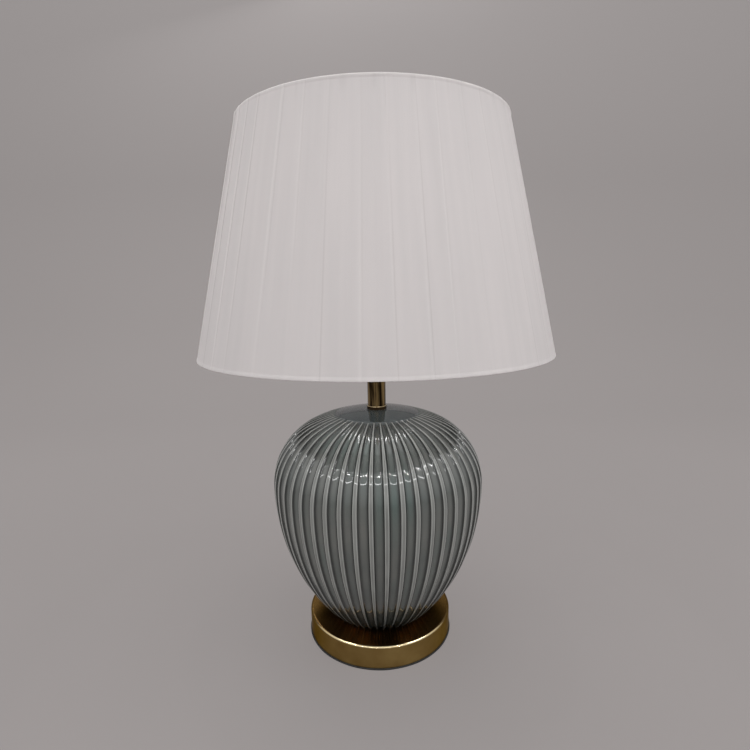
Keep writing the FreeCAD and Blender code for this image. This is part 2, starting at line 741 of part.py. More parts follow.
def socket_pieces():
    socket_cap()
    screw = turned("socket_cap_screw", [
        ("0", "0"),
        ("cap_screw_radius", "0"),
        ("cap_screw_radius", "cap_hub_radius - tube_radius"),
        ("cap_screw_head_radius", "cap_hub_radius - tube_radius"),
        ("cap_screw_head_radius", "cap_hub_radius - tube_radius + cap_screw_head_height"),
        ("0", "cap_hub_radius - tube_radius + cap_screw_head_height")],
        x="tube_radius + running_gap", z="cap_z + cap_hub_height / 2")
    on_x(screw)
    shell = new_body("socket_shell")
    turn_solid(shell, [
        ("shell_radius - shell_wall", "0"),
        ("shell_radius", "0"),
        ("shell_radius", "shell_length - 2 * shell_bead", "shell_bead_arc"),
        ("shell_radius", "shell_length"),
        ("shell_radius - shell_wall", "shell_length")])
    spindle_way = [("0", "spindle_z - shell_z", "spindle_hole")]
    pocket(shell, circles(shell, "YZ_Plane", spindle_way), name="SpindleHole")
    place(shell, z="shell_z")
    liner = new_body("socket_liner")
    turn_solid(liner, [
        ("liner_radius - liner_wall", "0"),
        ("liner_radius", "0"),
        ("liner_radius", "liner_length"),
        ("liner_radius - liner_wall", "liner_length")])
    pocket(liner, circles(liner, "YZ_Plane", spindle_way), name="SpindleHole")
    place(liner, z="shell_z")
    switch_body()
    thread = "switch_radius - screw_shell_wall"
    washer("screw_shell", thread, "switch_radius", "screw_shell_length", "screw_shell_z")
    turned("centre_contact", [
        ("0", "0"),
        ("contact_radius", "0"),
        ("contact_radius", "contact_height / 3"),
        ("contact_radius / 2", "contact_height"),
        ("0", "contact_height")], z="contact_z")
    for name, side, turn in (("live_terminal", "", -90), ("neutral_terminal", "-", 90)):
        terminal = turned(name, [
            ("0", "-terminal_shank_length"),
            ("terminal_shank_radius", "-terminal_shank_length"),
            ("terminal_shank_radius", "0"),
            ("terminal_head_radius", "0"),
            ("terminal_head_radius", "terminal_head_height"),
            ("0", "terminal_head_height")],
            y=side + "(switch_radius - terminal_depth)", z="switch_z + switch_body_height / 2")
        terminal.Placement.Rotation = FreeCAD.Rotation(FreeCAD.Vector(1, 0, 0), turn)


def switch_body():
    """Moulded insulator: a bore for the switch spindle, a post for the contact, terminal windows."""
    body = new_body("switch_body")
    turn_solid(body, [
        ("switch_cavity_radius", "0"),
        ("switch_radius", "0"),
        ("switch_radius", "switch_body_height"),
        ("contact_post_radius", "switch_body_height"),
        ("contact_post_radius", "switch_body_height + contact_post_height"),
        ("0", "switch_body_height + contact_post_height"),
        ("0", "switch_cavity_depth"),
        ("switch_cavity_radius", "switch_cavity_depth")])
    round_spindle = [("0", "spindle_z - switch_z", "spindle_radius + running_gap")]
    bore = circles(body, "YZ_Plane", round_spindle, "SpindleBore")
    bind(bore, "AttachmentOffset.Base.z", "spindle_inner_end - fit_gap")
    pocket(body, bore, name="SpindleBore")
    middle = "switch_body_height / 2"
    half = "terminal_window / 2"
    for side in ("", "-"):
        window = outline(body, "XZ_Plane", [
            ("-(%s)" % half, "%s - %s" % (middle, half)),
            (half, "%s - %s" % (middle, half)),
            (half, "%s + %s" % (middle, half)),
            ("-(%s)" % half, "%s + %s" % (middle, half))], "Window")
        bind(window, "AttachmentOffset.Base.z", "%s(switch_radius - terminal_depth)" % side)
        pocket(body, window, forward=side == "", name="TerminalWindow")
        hole = circles(body, "XZ_Plane", [("0", middle, "terminal_shank_radius + running_gap")], "ScrewHole")
        reach = "(switch_radius - terminal_depth - terminal_shank_length - fit_gap)"
        bind(hole, "AttachmentOffset.Base.z", side + reach)
        pocket(body, hole, forward=side == "", name="ScrewHole")
    return place(body, z="switch_z")


def switch_key():
    """Spindle of the rotary switch and the fluted knob on its end."""
    spindle = turned("switch_spindle", [
        ("0", "0"),
        ("spindle_radius", "0"),
        ("spindle_radius", "knob_x + knob_length - knob_end_wall - spindle_inner_end"),
        ("0", "knob_x + knob_length - knob_end_wall - spindle_inner_end")],
        x="spindle_inner_end", z="spindle_z")
    on_x(spindle)
    knob = new_body("switch_knob")
    turn_solid(knob, [
        ("spindle_radius", "0"),
        ("knob_radius", "0"),
        ("knob_radius", "knob_length - knob_edge"),
        ("knob_radius - knob_edge", "knob_length"),
        ("0", "knob_length"),
        ("0", "knob_length - knob_end_wall"),
        ("spindle_radius", "knob_length - knob_end_wall")])
    doc.recompute()
    groove = circles(knob, "XY_Plane", [("knob_radius", "0", "knob_flute_radius")], "Flute")
    flute = pocket(knob, groove, name="Flute")
    around(knob, flute, "knob_flutes", "Flutes")
    place(knob, x="knob_x", z="spindle_z")
    on_x(knob)


def bulb():
    """Pear-shaped bulb with its screw cap, cap insulator and contact tip."""
    turned("bulb_contact", [
        ("0", "0"),
        ("bulb_tip_radius / 2", "0"),
        ("bulb_tip_radius", "bulb_tip_height / 2"),
        ("bulb_tip_radius", "bulb_tip_height"),
        ("0", "bulb_tip_height")], z="bulb_z")
    turned("bulb_insulator", [
        ("0", "bulb_tip_height"),
        ("bulb_tip_radius", "bulb_tip_height"),
        ("bulb_cap_radius - bulb_cap_taper", "bulb_cap_bottom"),
        ("0", "bulb_cap_bottom")], z="bulb_z")
    turned("bulb_cap", [
        ("0", "bulb_cap_bottom"),
        ("bulb_cap_radius - bulb_cap_taper", "bulb_cap_bottom"),
        ("bulb_cap_radius", "bulb_cap_bottom + bulb_cap_taper"),
        ("bulb_cap_radius", "bulb_cap_top"),
        ("0", "bulb_cap_top")], z="bulb_z")
    turned("bulb_glass", [
        ("0", "bulb_cap_top"),
        ("glass_neck_radius", "bulb_cap_top"),
        ("glass_neck_radius", "glass_y - (glass_radius + glass_neck_arc) * glass_sine", "-glass_neck_arc"),
        ("glass_radius * glass_cosine", "glass_y - glass_radius * glass_sine", "glass_radius"),
        ("glass_radius", "glass_y", "glass_radius"),
        ("0", "glass_y + glass_radius")], z="bulb_z")


def harp_stud():
    """Threaded stud riveted through the harp's eye so that it can turn there."""
    eye_top = "harp_eye_thickness + fit_gap * 2"
    turned("harp_stud", [
        ("0", "-(%s + stud_rivet_height)" % eye_top),
        ("stud_rivet_radius", "-(%s + stud_rivet_height)" % eye_top),
        ("stud_rivet_radius", "-(%s)" % eye_top),
        ("stud_shank_radius", "-(%s)" % eye_top),
        ("stud_shank_radius", "0"),
        ("stud_disc_radius", "0"),
        ("stud_disc_radius", "stud_disc_height"),
        ("stud_thread_radius", "stud_disc_height"),
        ("stud_thread_radius", "stud_disc_height + stud_thread_length"),
        ("0", "stud_disc_height + stud_thread_length")], z="stud_z")


def shade_spider():
    """Hub washer that drops over the stud, with three wire arms rising to the top ring."""
    body = new_body("shade_spider")
    middle = "hub_thickness / 2"
    reach = "top_ring_radius - ring_wire - fit_gap"
    path = route(body, "XZ_Plane", ("0", middle), [
        ("arm_flat_length", middle, "arm_bend"),
        ("%s - arm_tip_length" % reach, "%s + ring_rise" % middle, "arm_bend")],
        (reach, "%s + ring_rise" % middle))
    wire = circles(body, "YZ_Plane", [("0", middle, "arm_wire")], "Wire")
    arm = body.newObject("PartDesign::AdditivePipe", "Arm")
    arm.Profile = wire
    arm.Spine = (path, [])
    around(body, arm, "arm_count", "Arms")
    clear = circles(body, "XY_Plane", [("0", "0", "stud_disc_radius + hole_gap * 2")], "HubRoom")
    bind(clear, "AttachmentOffset.Base.z", "-overrun")
    pocket(body, clear, "overrun * 2", name="HubRoom")
    hub = [("0", "0", "hub_radius"), ("0", "0", "stud_thread_radius + fit_gap")]
    pad(body, circles(body, "XY_Plane", hub, "Hub"), "hub_thickness", name="HubWasher")
    return place(body, z="hub_z")


def wire_ring(name, radius, z):
    ring = doc.addObject("Part::Torus", name)
    ring.Label = name
    bind(ring, "Radius1", radius)
    bind(ring, "Radius2", "ring_wire")
    return place(ring, z=z)


def shade_lining():
    """Stiff conical lining that keeps the shade round and carries the pleated cover."""
    depth = "cover_thickness + fit_gap"
    low = "shade_bottom_radius - shade_slope * lining_inset - (%s)" % depth
    high = "shade_top_radius + shade_slope * lining_inset - (%s)" % depth
    turned("shade_lining", [
        (low + " - lining_thickness", "lining_inset"),
        (low, "lining_inset"),
        (high, "shade_height - lining_inset"),
        (high + " - lining_thickness", "shade_height - lining_inset")], z="shade_z")


def pleat_line(radius, height):
    """One edge of the pleated cover: each pleat slopes out, then folds back in by a short step."""
    count = int(value("pleat_count"))
    depth = value("pleat_depth")
    fold_share = value("pleat_fold_share")
    turn = 2 * math.pi / count
    points = []
    for pleat in range(count):
        for share, reach in ((0, radius - depth), (1 - fold_share, radius)):
            angle = turn * (pleat + share)
            points.append(FreeCAD.Vector(reach * math.cos(angle), reach * math.sin(angle), height))
    return Part.makePolygon(points + points[:1])


def inner_line(radius, height):
    """One edge of the cover's inside, which lies flat on the lining with several sides to a pleat."""
    sides = int(value("pleat_count * sides_in_pleat"))
    turn = 2 * math.pi / sides
    points = [FreeCAD.Vector(radius * math.cos(turn * side), radius * math.sin(turn * side), height)
              for side in range(sides)]
    return Part.makePolygon(points + points[:1])


def shade_cover():
    """Knife-pleated fabric cover: ruled pleats outside, a plain cone inside."""
    low = value("shade_bottom_radius")
    high = value("shade_top_radius")
    height = value("shade_height")
    wall = value("cover_thickness")
    pleats = Part.makeLoft([pleat_line(low, 0), pleat_line(high, height)], True, True)
    inside = Part.makeLoft([inner_line(low - wall, 0), inner_line(high - wall, height)], True, True)
    cover = doc.addObject("Part::Feature", "shade_cover")
    cover.Label = "shade_cover"
    cover.Shape = pleats.cut(inside)
    return place(cover, z="shade_z")


def shade_pieces():
    harp_stud()
    shade_spider()
    wire_ring("top_ring", "top_ring_radius", "shade_z + shade_height - ring_inset")
    wire_ring("bottom_ring", "bottom_ring_radius", "shade_z + ring_inset")
    shade_lining()
    shade_cover()


def finial():
    """Turned brass knob: a foot, a waisted neck, a ball and a small tip, bored for the stud."""
    ball_low = "finial_neck_height + sqrt(finial_ball_radius ^ 2 - finial_neck_radius ^ 2)"
    tip = "sqrt(finial_ball_radius ^ 2 - finial_tip_radius ^ 2)"
    bore = "stud_thread_radius + running_gap"
    depth = "stud_thread_length - hub_thickness + fit_gap"
    turned("finial", [
        (bore, "0"),
        ("finial_foot_radius", "0"),
        ("finial_foot_radius", "finial_foot_height"),
        ("finial_neck_radius", "finial_neck_height", "finial_ball_radius"),
        ("finial_ball_radius", ball_low, "finial_ball_radius"),
        ("finial_tip_radius", "%s + %s" % (ball_low, tip)),
        ("finial_tip_radius", "%s + %s + finial_tip_height" % (ball_low, tip)),
        ("0", "%s + %s + finial_tip_height" % (ball_low, tip)),
        ("0", depth),
        (bore, depth)], z="finial_z")


def whole_pieces():
    """Every piece of the lamp: bodies and free solids, each with a label of its own."""
    kinds = ("PartDesign::Body", "Part::Torus", "Part::Feature")
    return [item for item in doc.Objects if item.TypeId in kinds]


def check_and_write():
    for item in doc.Objects:
        if "Invalid" in item.State or "Error" in item.State:
            raise RuntimeError("%s (%s) failed: %s" % (item.Name, item.Label, item.State))
    for item in whole_pieces():
        if item.Shape.isNull() or not item.Shape.isValid() or not item.Shape.Solids:
            raise RuntimeError("%s has no sound solid" % item.Label)
    os.makedirs("parts", exist_ok=True)
    for item in whole_pieces():
        item.Shape.exportStep("parts/%s.step" % item.Label)


fill_sheet()
base_pieces()
stack_pieces()
ceramic_body()
neck_pieces()
harp_saddle()
harp_loop()
ferrules()
socket_pieces()
switch_key()
bulb()
shade_pieces()
finial()
doc.recompute()
check_and_write()
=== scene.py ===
import bmesh
import bpy
import math
import numpy as np
from mathutils import Matrix, Vector


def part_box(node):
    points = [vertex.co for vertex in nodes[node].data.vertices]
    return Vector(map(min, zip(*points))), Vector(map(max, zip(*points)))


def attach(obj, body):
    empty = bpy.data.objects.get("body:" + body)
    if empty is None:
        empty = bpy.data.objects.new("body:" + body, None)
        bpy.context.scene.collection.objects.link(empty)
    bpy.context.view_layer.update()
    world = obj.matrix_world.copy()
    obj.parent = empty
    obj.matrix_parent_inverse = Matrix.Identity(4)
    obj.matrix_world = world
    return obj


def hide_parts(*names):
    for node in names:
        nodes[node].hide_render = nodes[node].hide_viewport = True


# Looks of the ceramic table lamp. Lengths are in metres, turns in degrees unless a comment says otherwise.
# The front of the lamp faces -Y, and azimuth 0 is the front, growing towards +X.

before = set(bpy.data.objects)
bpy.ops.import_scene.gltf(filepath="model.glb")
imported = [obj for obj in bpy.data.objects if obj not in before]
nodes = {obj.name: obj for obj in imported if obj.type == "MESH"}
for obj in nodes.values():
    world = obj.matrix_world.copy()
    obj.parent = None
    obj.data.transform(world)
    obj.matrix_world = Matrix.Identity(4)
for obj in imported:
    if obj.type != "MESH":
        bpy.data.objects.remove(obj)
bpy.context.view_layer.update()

SEED = 11
FRONT_TURN = -math.pi / 2  # radians from +X

# Camera
IMAGE_SIDE = 750
SENSOR = 36.0
FOCAL_PIXELS = 517.76
CLIP_START = 0.01
CAMERA_X = -0.0013
CAMERA_DISTANCE = 0.52017
CAMERA_HEIGHT = 0.36471
CAMERA_PITCH = 9.662
CAMERA_ROLL = -0.93

# Ceramic body: four arcs that meet smoothly
BELLY_RADIUS = 0.1075
LOWER_ARC = 0.2096
FOOT_TURN = 38.0
FOOT_ARC = 0.0958
FOOT_END = 49.6
SHOULDER_ARC = 0.0675
SHOULDER_TURN = 66.5
CAP_ARC = 0.150
BODY_HOLE = 0.008
CAVITY_INSET = 0.0082
BODY_FLOOR = 0.008
FOOT_RING = 0.009
FOOT_RECESS = 0.0015

# Its ribs, and the flutes between them. Ribs narrow to both ends, and wander and differ in width as hand-cut
# ones do.
RIBS = 48
RIB_SHARE = 0.27
RIB_END_SHARE = 0.14
RIB_NARROW_RADIUS = 0.045
RIB_ROUNDING = 0.0005
RIB_WANDER = 0.0042  # radians
RIB_UNEVEN = 0.10
FLUTE_DEPTH = 0.0021
FLUTE_END = 0.0425
FLUTE_HOLLOW = 0.28
FLUTE_WALL = 0.0017

# Steps of its mesh: up the body, at the flutes' upper ends, and across one flute as shares of the pitch
ROW_STEP = 0.0036
END_STEP = 0.0011
END_CLEAR = 0.0405
CAVITY_STRIDE = 6
PITCH_SHARES = (0.0, 0.09, 0.17, 0.23, 0.275, 0.31, 0.335, 0.355, 0.37, 0.385, 0.4, 0.417, 0.435, 0.46)
BODY_SHARP = 70.0

# Where its glaze is dark beside the ribs (pooled glaze, partly painted shade) and at the flutes' upper ends
# (painted shade), where a pale line runs along the ribs' edges (thin glaze, partly a painted highlight), where
# the foot darkens (painted shade), and where it turns to the plain cap. Slopes are in radians.
POOL_AND_SHADE_START = 0.0004
POOL_AND_SHADE_FADE = 0.0046
POOL_AND_SHADE_WIDTH = 0.0040
FLUTE_TOP_SHADE = 0.85
FLUTE_TOP_SHADE_FADE = 0.019
FLUTE_TOP_SHADE_SLOPE = 0.5
CREST_INSET = 0.00035
CREST_WIDTH = 0.00035
CREST_HIGHLIGHT_STRENGTH = 0.62
CAP_SLOPE = 1.0
CAP_LEAD = 0.001
CAP_FADE = 0.004
FOOT_SHADE_TOP = 0.098
FOOT_SHADE_LOW = 0.036
FOOT_SHADE_SHARE = 0.68

# Spans of a noise's usual range
NOISE_SPAN = (0.3, 0.7)
WIDE_NOISE_SPAN = (0.2, 0.8)
MID_NOISE_SPAN = (0.25, 0.75)

# Glaze. The crest tint is partly a painted highlight, the pool tint partly painted shade, and the foot tint
# painted shade.
RIB_TINTS = (0.145, 0.150, 0.143), (0.190, 0.196, 0.187)
RIB_STREAKS = (0.35, 0.7)
CREST_HIGHLIGHT_TINT = (0.40, 0.41, 0.395)
FLUTE_TINTS = (0.078, 0.088, 0.084), (0.112, 0.115, 0.107)
GREEN_TINT = (0.062, 0.096, 0.087)
GREEN_DRIFT = (0.52, 0.72, 0.0, 0.7)
POOL_AND_SHADE_TINT = (0.008, 0.011, 0.010)
FOOT_SHADE_TINT = (0.012, 0.016, 0.015)
CAP_TINTS = (0.030, 0.042, 0.046), (0.042, 0.053, 0.057)
GLAZE_ROUGHNESS = (0.3, 0.75, 0.03, 0.07)
GLAZE_IOR = 1.70
GLAZE_DIMPLE = 0.000008
GLAZE_WAVE = 0.0001

# Metal: its fine marks and brushed streaks, as scales across and along
MARK_HEIGHT = 0.000006
MARK_SCALE = 3200.0
MARK_TURN_SCALE = 2.5
STREAK_SCALES = (1.6, 9.0)
STREAK_SPAN = (0.45, 0.57)
FINE_STREAK_SCALES = (14.0, 60.0)

# Base pan: where its satin wall turns into the polished edge, how wide that is, and the tints of wall, edge
# and top.
# The edge is pale at the front, partly bare brass and partly a painted highlight, and dulls away from it; the
# top is darker, partly patina and partly painted shade, with warm patches toward the front that are a painted
# reflection.
# Both change between these turns in radians.
PAN_SATIN_TOP = 0.0227
PAN_EDGE_WIDTH = 0.0011
PAN_BLEND = 0.0004
PAN_WALL_TINTS = (0.27, 0.170, 0.054), (0.40, 0.275, 0.100)
PAN_SHEEN_TINT = (0.42, 0.36, 0.28)
PAN_EDGE_HIGHLIGHT_TINT = (0.66, 0.55, 0.34)
PAN_EDGE_SIDE_TINT = (0.27, 0.185, 0.075)
PAN_HIGHLIGHT_TURNS = (0.55, 1.15)
PAN_TOP_TINT = (0.135, 0.082, 0.030)
PAN_REFLECTION_TINT = (0.50, 0.25, 0.085)
PAN_REFLECTION_TURNS = (0.3, 1.2)
PAN_REFLECTION_SPAN = (0.38, 0.60)
PAN_REFLECTION_SCALES = (1.7, 16.0)

# Neck ring: its upper bevel is lighter, a painted highlight
RING_TINTS = (0.050, 0.030, 0.014), (0.080, 0.052, 0.024)
RING_BEVEL = 0.0006
RING_HIGHLIGHT_TINT = (0.62, 0.50, 0.31)

# Felt disc: its edge bulges out under the pan's wall
FELT_RADIUS = 0.0760
FELT_UNDER = 0.00148
FELT_ROUND = 0.0003
FELT_COLUMNS = 240
FELT_UNEVEN = 0.00006
FELT_WAVES = (2, 3, 5, 9, 14)

# Pleated cover. A pleat's share of its pitch runs from 0 at one step to 1 at the next.
COVER_TOP_RADIUS = 0.1269
COVER_BOTTOM_RADIUS = 0.1723
COVER_THICKNESS = 0.0014
COVER_DENT_SHARE = 0.8
COVER_ROWS = 44
COVER_SHARP = 60.0
PLEATS = 36
PLEAT_DEPTH = 0.00088
PLEAT_SHARES = (0.0, 0.015, 0.05, 0.14, 0.28, 0.42, 0.56, 0.7, 0.8, 0.87, 0.915, 0.94, 0.955, 0.97, 0.985)
FRONT_FOLDS = (-73, -66, -59, -50, -43, -31, -22, -13.5, -4, 4.5, 14, 21, 31, 40, 49, 58, 67)
FRONT_STRENGTHS = (1.0, 0.9, 0.9, 0.5, 0.45, 0.2, 0.12, 0.3, 0.1, 0.25, 0.3, 0.1, 0.1, 0.2, 0.25, 0.5, 1.0)
OTHER_STRENGTHS = (0.25, 1.0)
FOLD_SHARE = 0.955
FOLD_WANDER_TOP = 0.5
FOLD_WANDER_BOTTOM = 0.9
HEM_HEIGHT = 0.0035
HEM_ROWS = 8
HEM_SWELL = 0.0001
HEM_EDGE = 3.0
HEM_FLATTENS = 0.5
EDGE_ROUNDING = 0.0005

# Its finer creases: lean and widths in radians
CREASES = 110
CREASE_LEAN = 0.03
CREASE_WIDTHS = (0.006, 0.02)
CREASE_DEPTHS = (0.00004, 0.00018)
CREASE_REACH = 1.4
CREASE_FADE = 1.6

# Cloth of cover and lining: the radius that turns are measured at, and the scales of its lines and bands
CLOTH_RADIUS = 0.15
LINE_SCALES = (900.0, 6.0)
BAND_SCALES = (110.0, 5.0)
WEAVE_HEIGHT_SHARE = 0.05

# Painted highlight and painted shadow along the cover's folds (the highlight partly the thicker folded cloth),
# and the painted shade of faint ticks under its upper hem
FOLD_HIGHLIGHT_LEAD = 0.02
FOLD_HIGHLIGHT_WIDTH = 0.022
FOLD_SHADOW_LAG = 0.005
FOLD_SHADOW_WIDTH = 0.014
FOLD_SHADOW_SHARE = 0.8
FOLD_HIGHLIGHT_TINT = (0.93, 0.90, 0.895)
FOLD_SHADOW_TINT = (0.42, 0.39, 0.38)
TICK_SCALE = 13.0
TICK_HEIGHT = 0.016
TICK_NOISE = (0.56, 0.66)
TICK_SHARE = 0.28
TICK_SHADE_TINT = (0.60, 0.575, 0.57)

# CAD nodes
NODE_SHARP = 35.0

# Backdrop
FLOOR_COLOUR = (0.290, 0.268, 0.265)
FLOOR_CLOUD = 0.97
WALL_COLOUR = (0.324, 0.303, 0.300)
FLOOR_WIDTH = 10.0
FLOOR_FRONT = -2.5
FLOOR_BACK = 0.9
SWEEP_RADIUS = 0.8
SWEEP_STEPS = 24
WALL_TOP = 3.2
PAPER_GREY = (0.281, 0.260, 0.256)
PAPER_TOP_GREY = (0.328, 0.305, 0.302)
PAPER_FADE = (0.25, 1.6)
PAPER_GLOW = 0.7

# Sky and lamps
AIM = (0, 0, 0.2)
SKY_LOW = (0.26, 0.256, 0.252)
SKY_HIGH = (1.0, 0.995, 0.99)
SKY_SPAN = (-0.27, 0.48)
FILL_TURNS = (-55, 0, 55)
FILL_POWER = 0.46
FILL_SIZE = 0.04
FILL_REACH = 0.085
FILL_HEIGHT = 0.42

# A colour mix node's two colour inputs and its colour output
MIX_FIRST, MIX_SECOND, MIX_RESULT = 6, 7, 2


def link(thing):
    bpy.context.scene.collection.objects.link(thing)
    return thing


def smooth(share):
    share = np.clip(share, 0, 1)
    return share * share * (3 - 2 * share)


def on_rings(radius, turn, height):
    """Points at these distances from the lamp's axis, turns from +X in radians, and heights."""
    return np.stack(np.broadcast_arrays(radius * np.cos(turn), radius * np.sin(turn), height), axis=-1)


def round_mesh(name, points, attributes=None, sharp=40.0):
    """Skin a closed grid: each row of points runs round the axis, and the last row meets the first."""
    rows, columns, _ = points.shape
    index = np.arange(rows * columns).reshape(rows, columns)
    after = np.roll(index, -1, axis=1)
    above = np.roll(index, -1, axis=0)
    corner = np.roll(after, -1, axis=0)
    quads = np.stack([index, after, corner, above], axis=-1).reshape(-1, 4)
    mesh = bpy.data.meshes.new(name)
    mesh.vertices.add(rows * columns)
    mesh.vertices.foreach_set("co", points.reshape(-1).astype(np.float32))
    mesh.loops.add(quads.size)
    mesh.loops.foreach_set("vertex_index", quads.reshape(-1).astype(np.int32))
    mesh.polygons.add(len(quads))
    mesh.polygons.foreach_set("loop_start", np.arange(0, quads.size, 4, dtype=np.int32))
    mesh.polygons.foreach_set("use_smooth", np.ones(len(quads), dtype=bool))
    for key, values in (attributes or {}).items():
        layer = mesh.attributes.new(key, "FLOAT", "POINT")
        layer.data.foreach_set("value", values.reshape(-1).astype(np.float32))
    mesh.update(calc_edges=True)
    mesh.validate()
    mesh.set_sharp_from_angle(angle=math.radians(sharp))
    return link(bpy.data.objects.new(name, mesh))


def colour(value):
    """A colour socket's four numbers, where a plain colour has three."""
    return value if hasattr(value, "node") or len(value) == 4 else (*value, 1.0)


class Shader:
    """A node material that is built up call by call."""

    def __init__(self, name):
        self.material = bpy.data.materials.new(name)
        self.material.use_nodes = True
        self.tree = self.material.node_tree
        self.surface = self.tree.nodes["Principled BSDF"]
        self.place = self.node("ShaderNodeTexCoord").outputs["Object"]

    def node(self, kind, **settings):
        made = self.tree.nodes.new(kind)
        for key, value in settings.items():
            setattr(made, key, value)
        return made

    def feed(self, socket, source):
        if hasattr(source, "node"):
            self.tree.links.new(source, socket)
        else:
            socket.default_value = source

    def set(self, **values):
        for key, value in values.items():
            self.feed(self.surface.inputs[key.replace("_", " ")], value)

    def math(self, operation, *values):
        made = self.node("ShaderNodeMath", operation=operation)
        for socket, value in zip(made.inputs, values):
            self.feed(socket, value)
        return made.outputs[0]

    def times(self, first, second):
        return self.math("MULTIPLY", first, second)

    def join(self, x, y, z):
        made = self.node("ShaderNodeCombineXYZ")
        for socket, value in zip(made.inputs, (x, y, z)):
            self.feed(socket, value)
        return made.outputs[0]

    def flat(self, across, along, scales):
        """A vector of two scaled values."""
        return self.join(self.times(across, scales[0]), self.times(along, scales[1]), 0.0)

    def split(self, vector):
        made = self.node("ShaderNodeSeparateXYZ")
        self.feed(made.inputs[0], vector)
        return made.outputs

    def upright(self, across, height, scales):
        """A vector of a value and a height, both scaled."""
        return self.join(self.times(across, scales[0]), 0.0, self.times(height, scales[1]))

    def stretched(self, height_scale):
        """The place on the object, with its height scaled."""
        made = self.node("ShaderNodeVectorMath", operation="MULTIPLY")
        self.feed(made.inputs[0], self.place)
        made.inputs[1].default_value = (1.0, 1.0, height_scale)
        return made.outputs[0]

    def noise(self, vector, scale=1.0, detail=3.0, roughness=0.5):
        made = self.node("ShaderNodeTexNoise")
        self.feed(made.inputs["Vector"], vector)
        made.inputs["Scale"].default_value = scale
        made.inputs["Detail"].default_value = detail
        made.inputs["Roughness"].default_value = roughness
        return made.outputs["Fac"]

    def spread(self, value, low, high, to_low=0.0, to_high=1.0):
        made = self.node("ShaderNodeMapRange")
        for socket, part in zip(made.inputs, (value, low, high, to_low, to_high)):
            self.feed(socket, part)
        return made.outputs[0]

    def mix(self, share, first, second):
        made = self.node("ShaderNodeMix", data_type="RGBA")
        self.feed(made.inputs[0], share)
        self.feed(made.inputs[MIX_FIRST], colour(first))
        self.feed(made.inputs[MIX_SECOND], colour(second))
        return made.outputs[MIX_RESULT]

    def cloudy(self, noise, dark, light):
        """Two colours, mixed by the whole usual range of a noise."""
        return self.mix(self.spread(noise, *NOISE_SPAN), dark, light)

    def attribute(self, name):
        return self.node("ShaderNodeAttribute", attribute_name=name).outputs["Fac"]

    def bump(self, height, distance, normal=None):
        made = self.node("ShaderNodeBump")
        self.feed(made.inputs["Height"], height)
        made.inputs["Distance"].default_value = distance
        made.inputs["Strength"].default_value = 1.0
        if normal is not None:
            self.feed(made.inputs["Normal"], normal)
        return made.outputs[0]

    def polar(self):
        """Distance from the lamp's axis, turn round it from +X in radians, and height."""
        x, y, z = self.split(self.place)
        squares = self.math("ADD", self.times(x, x), self.times(y, y))
        return self.math("SQRT", squares), self.math("ARCTAN2", y, x), z

    def blend_surface(self, share, other):
        """Show another shader in place of this share of the surface."""
        made = self.node("ShaderNodeMixShader")
        self.feed(made.inputs[0], share)
        self.feed(made.inputs[1], self.surface.outputs[0])
        self.feed(made.inputs[2], other.outputs[0])
        self.feed(self.tree.nodes["Material Output"].inputs["Surface"], made.outputs[0])


def dress(thing, shader):
    thing.data.materials.clear()
    thing.data.materials.append(shader.material)
    return thing


def glaze():
    """Glossy grey-green glaze: a pale line along the ribs' edges, thin glaze and partly a painted highlight;
    dark beside the ribs, pooled glaze and partly painted shade; darker at the flutes' upper ends and toward
    the foot: painted shade.
    """
    made = Shader("glaze")
    cloud = made.noise(made.place, scale=26.0, detail=4.0)
    drift = made.noise(made.stretched(0.5), scale=17.0, detail=2.0)
    streak = made.noise(made.stretched(0.12), scale=160.0, detail=2.0)
    rib = made.mix(made.spread(streak, *RIB_STREAKS), *RIB_TINTS)
    # Pale line along each rib's edge: thin glaze, partly a painted highlight.
    rib = made.mix(made.times(made.attribute("crest_highlight"), CREST_HIGHLIGHT_STRENGTH), rib, CREST_HIGHLIGHT_TINT)
    floor = made.cloudy(cloud, *FLUTE_TINTS)
    floor = made.mix(made.spread(drift, *GREEN_DRIFT), floor, GREEN_TINT)
    body = made.mix(made.attribute("relief"), rib, floor)
    # Dark beside the ribs, pooled glaze and partly painted shade, and at the flutes' upper ends, painted
    # shade.
    body = made.mix(made.attribute("pool_and_shade"), body, POOL_AND_SHADE_TINT)
    # Darker toward the foot: painted shade.
    foot = made.spread(made.split(made.place)[2], FOOT_SHADE_TOP, FOOT_SHADE_LOW, 0.0, FOOT_SHADE_SHARE)
    body = made.mix(foot, body, FOOT_SHADE_TINT)
    cap = made.cloudy(cloud, *CAP_TINTS)
    made.set(Base_Color=made.mix(made.attribute("cap"), body, cap))
    made.set(Roughness=made.spread(cloud, *GLAZE_ROUGHNESS), IOR=GLAZE_IOR)
    dimple = made.noise(made.place, scale=420.0, detail=2.0)
    wave = made.noise(made.place, scale=75.0, detail=2.0)
    made.set(Normal=made.bump(dimple, GLAZE_DIMPLE, normal=made.bump(wave, GLAZE_WAVE)))
    return made


def turned_metal(name, dark, light, roughness, uneven=0.10):
    """Brass or steel with fine marks that run round the lamp's axis."""
    made = Shader(name)
    radius, turn, height = made.polar()
    rings = made.noise(made.join(made.times(radius, MARK_SCALE), made.times(turn, MARK_TURN_SCALE),
                                 made.times(height, MARK_SCALE)))
    patch = made.noise(made.place, scale=38.0, detail=4.0)
    dulled = made.spread(patch, *NOISE_SPAN, roughness - uneven / 2, roughness)
    made.set(Base_Color=made.cloudy(patch, dark, light), Metallic=1.0)
    made.set(Roughness=made.math("ADD", made.spread(rings, *WIDE_NOISE_SPAN, 0, uneven), dulled))
    made.set(Normal=made.bump(rings, MARK_HEIGHT))
    return made


def overlay_tint(made, share, tint, roughness):
    """Where share is one, this tint and roughness take over the surface."""
    base, rough = made.surface.inputs["Base Color"], made.surface.inputs["Roughness"]
    made.feed(base, made.mix(share, base.links[0].from_socket, tint))
    made.feed(rough, made.spread(share, 0.0, 1.0, rough.links[0].from_socket, roughness))


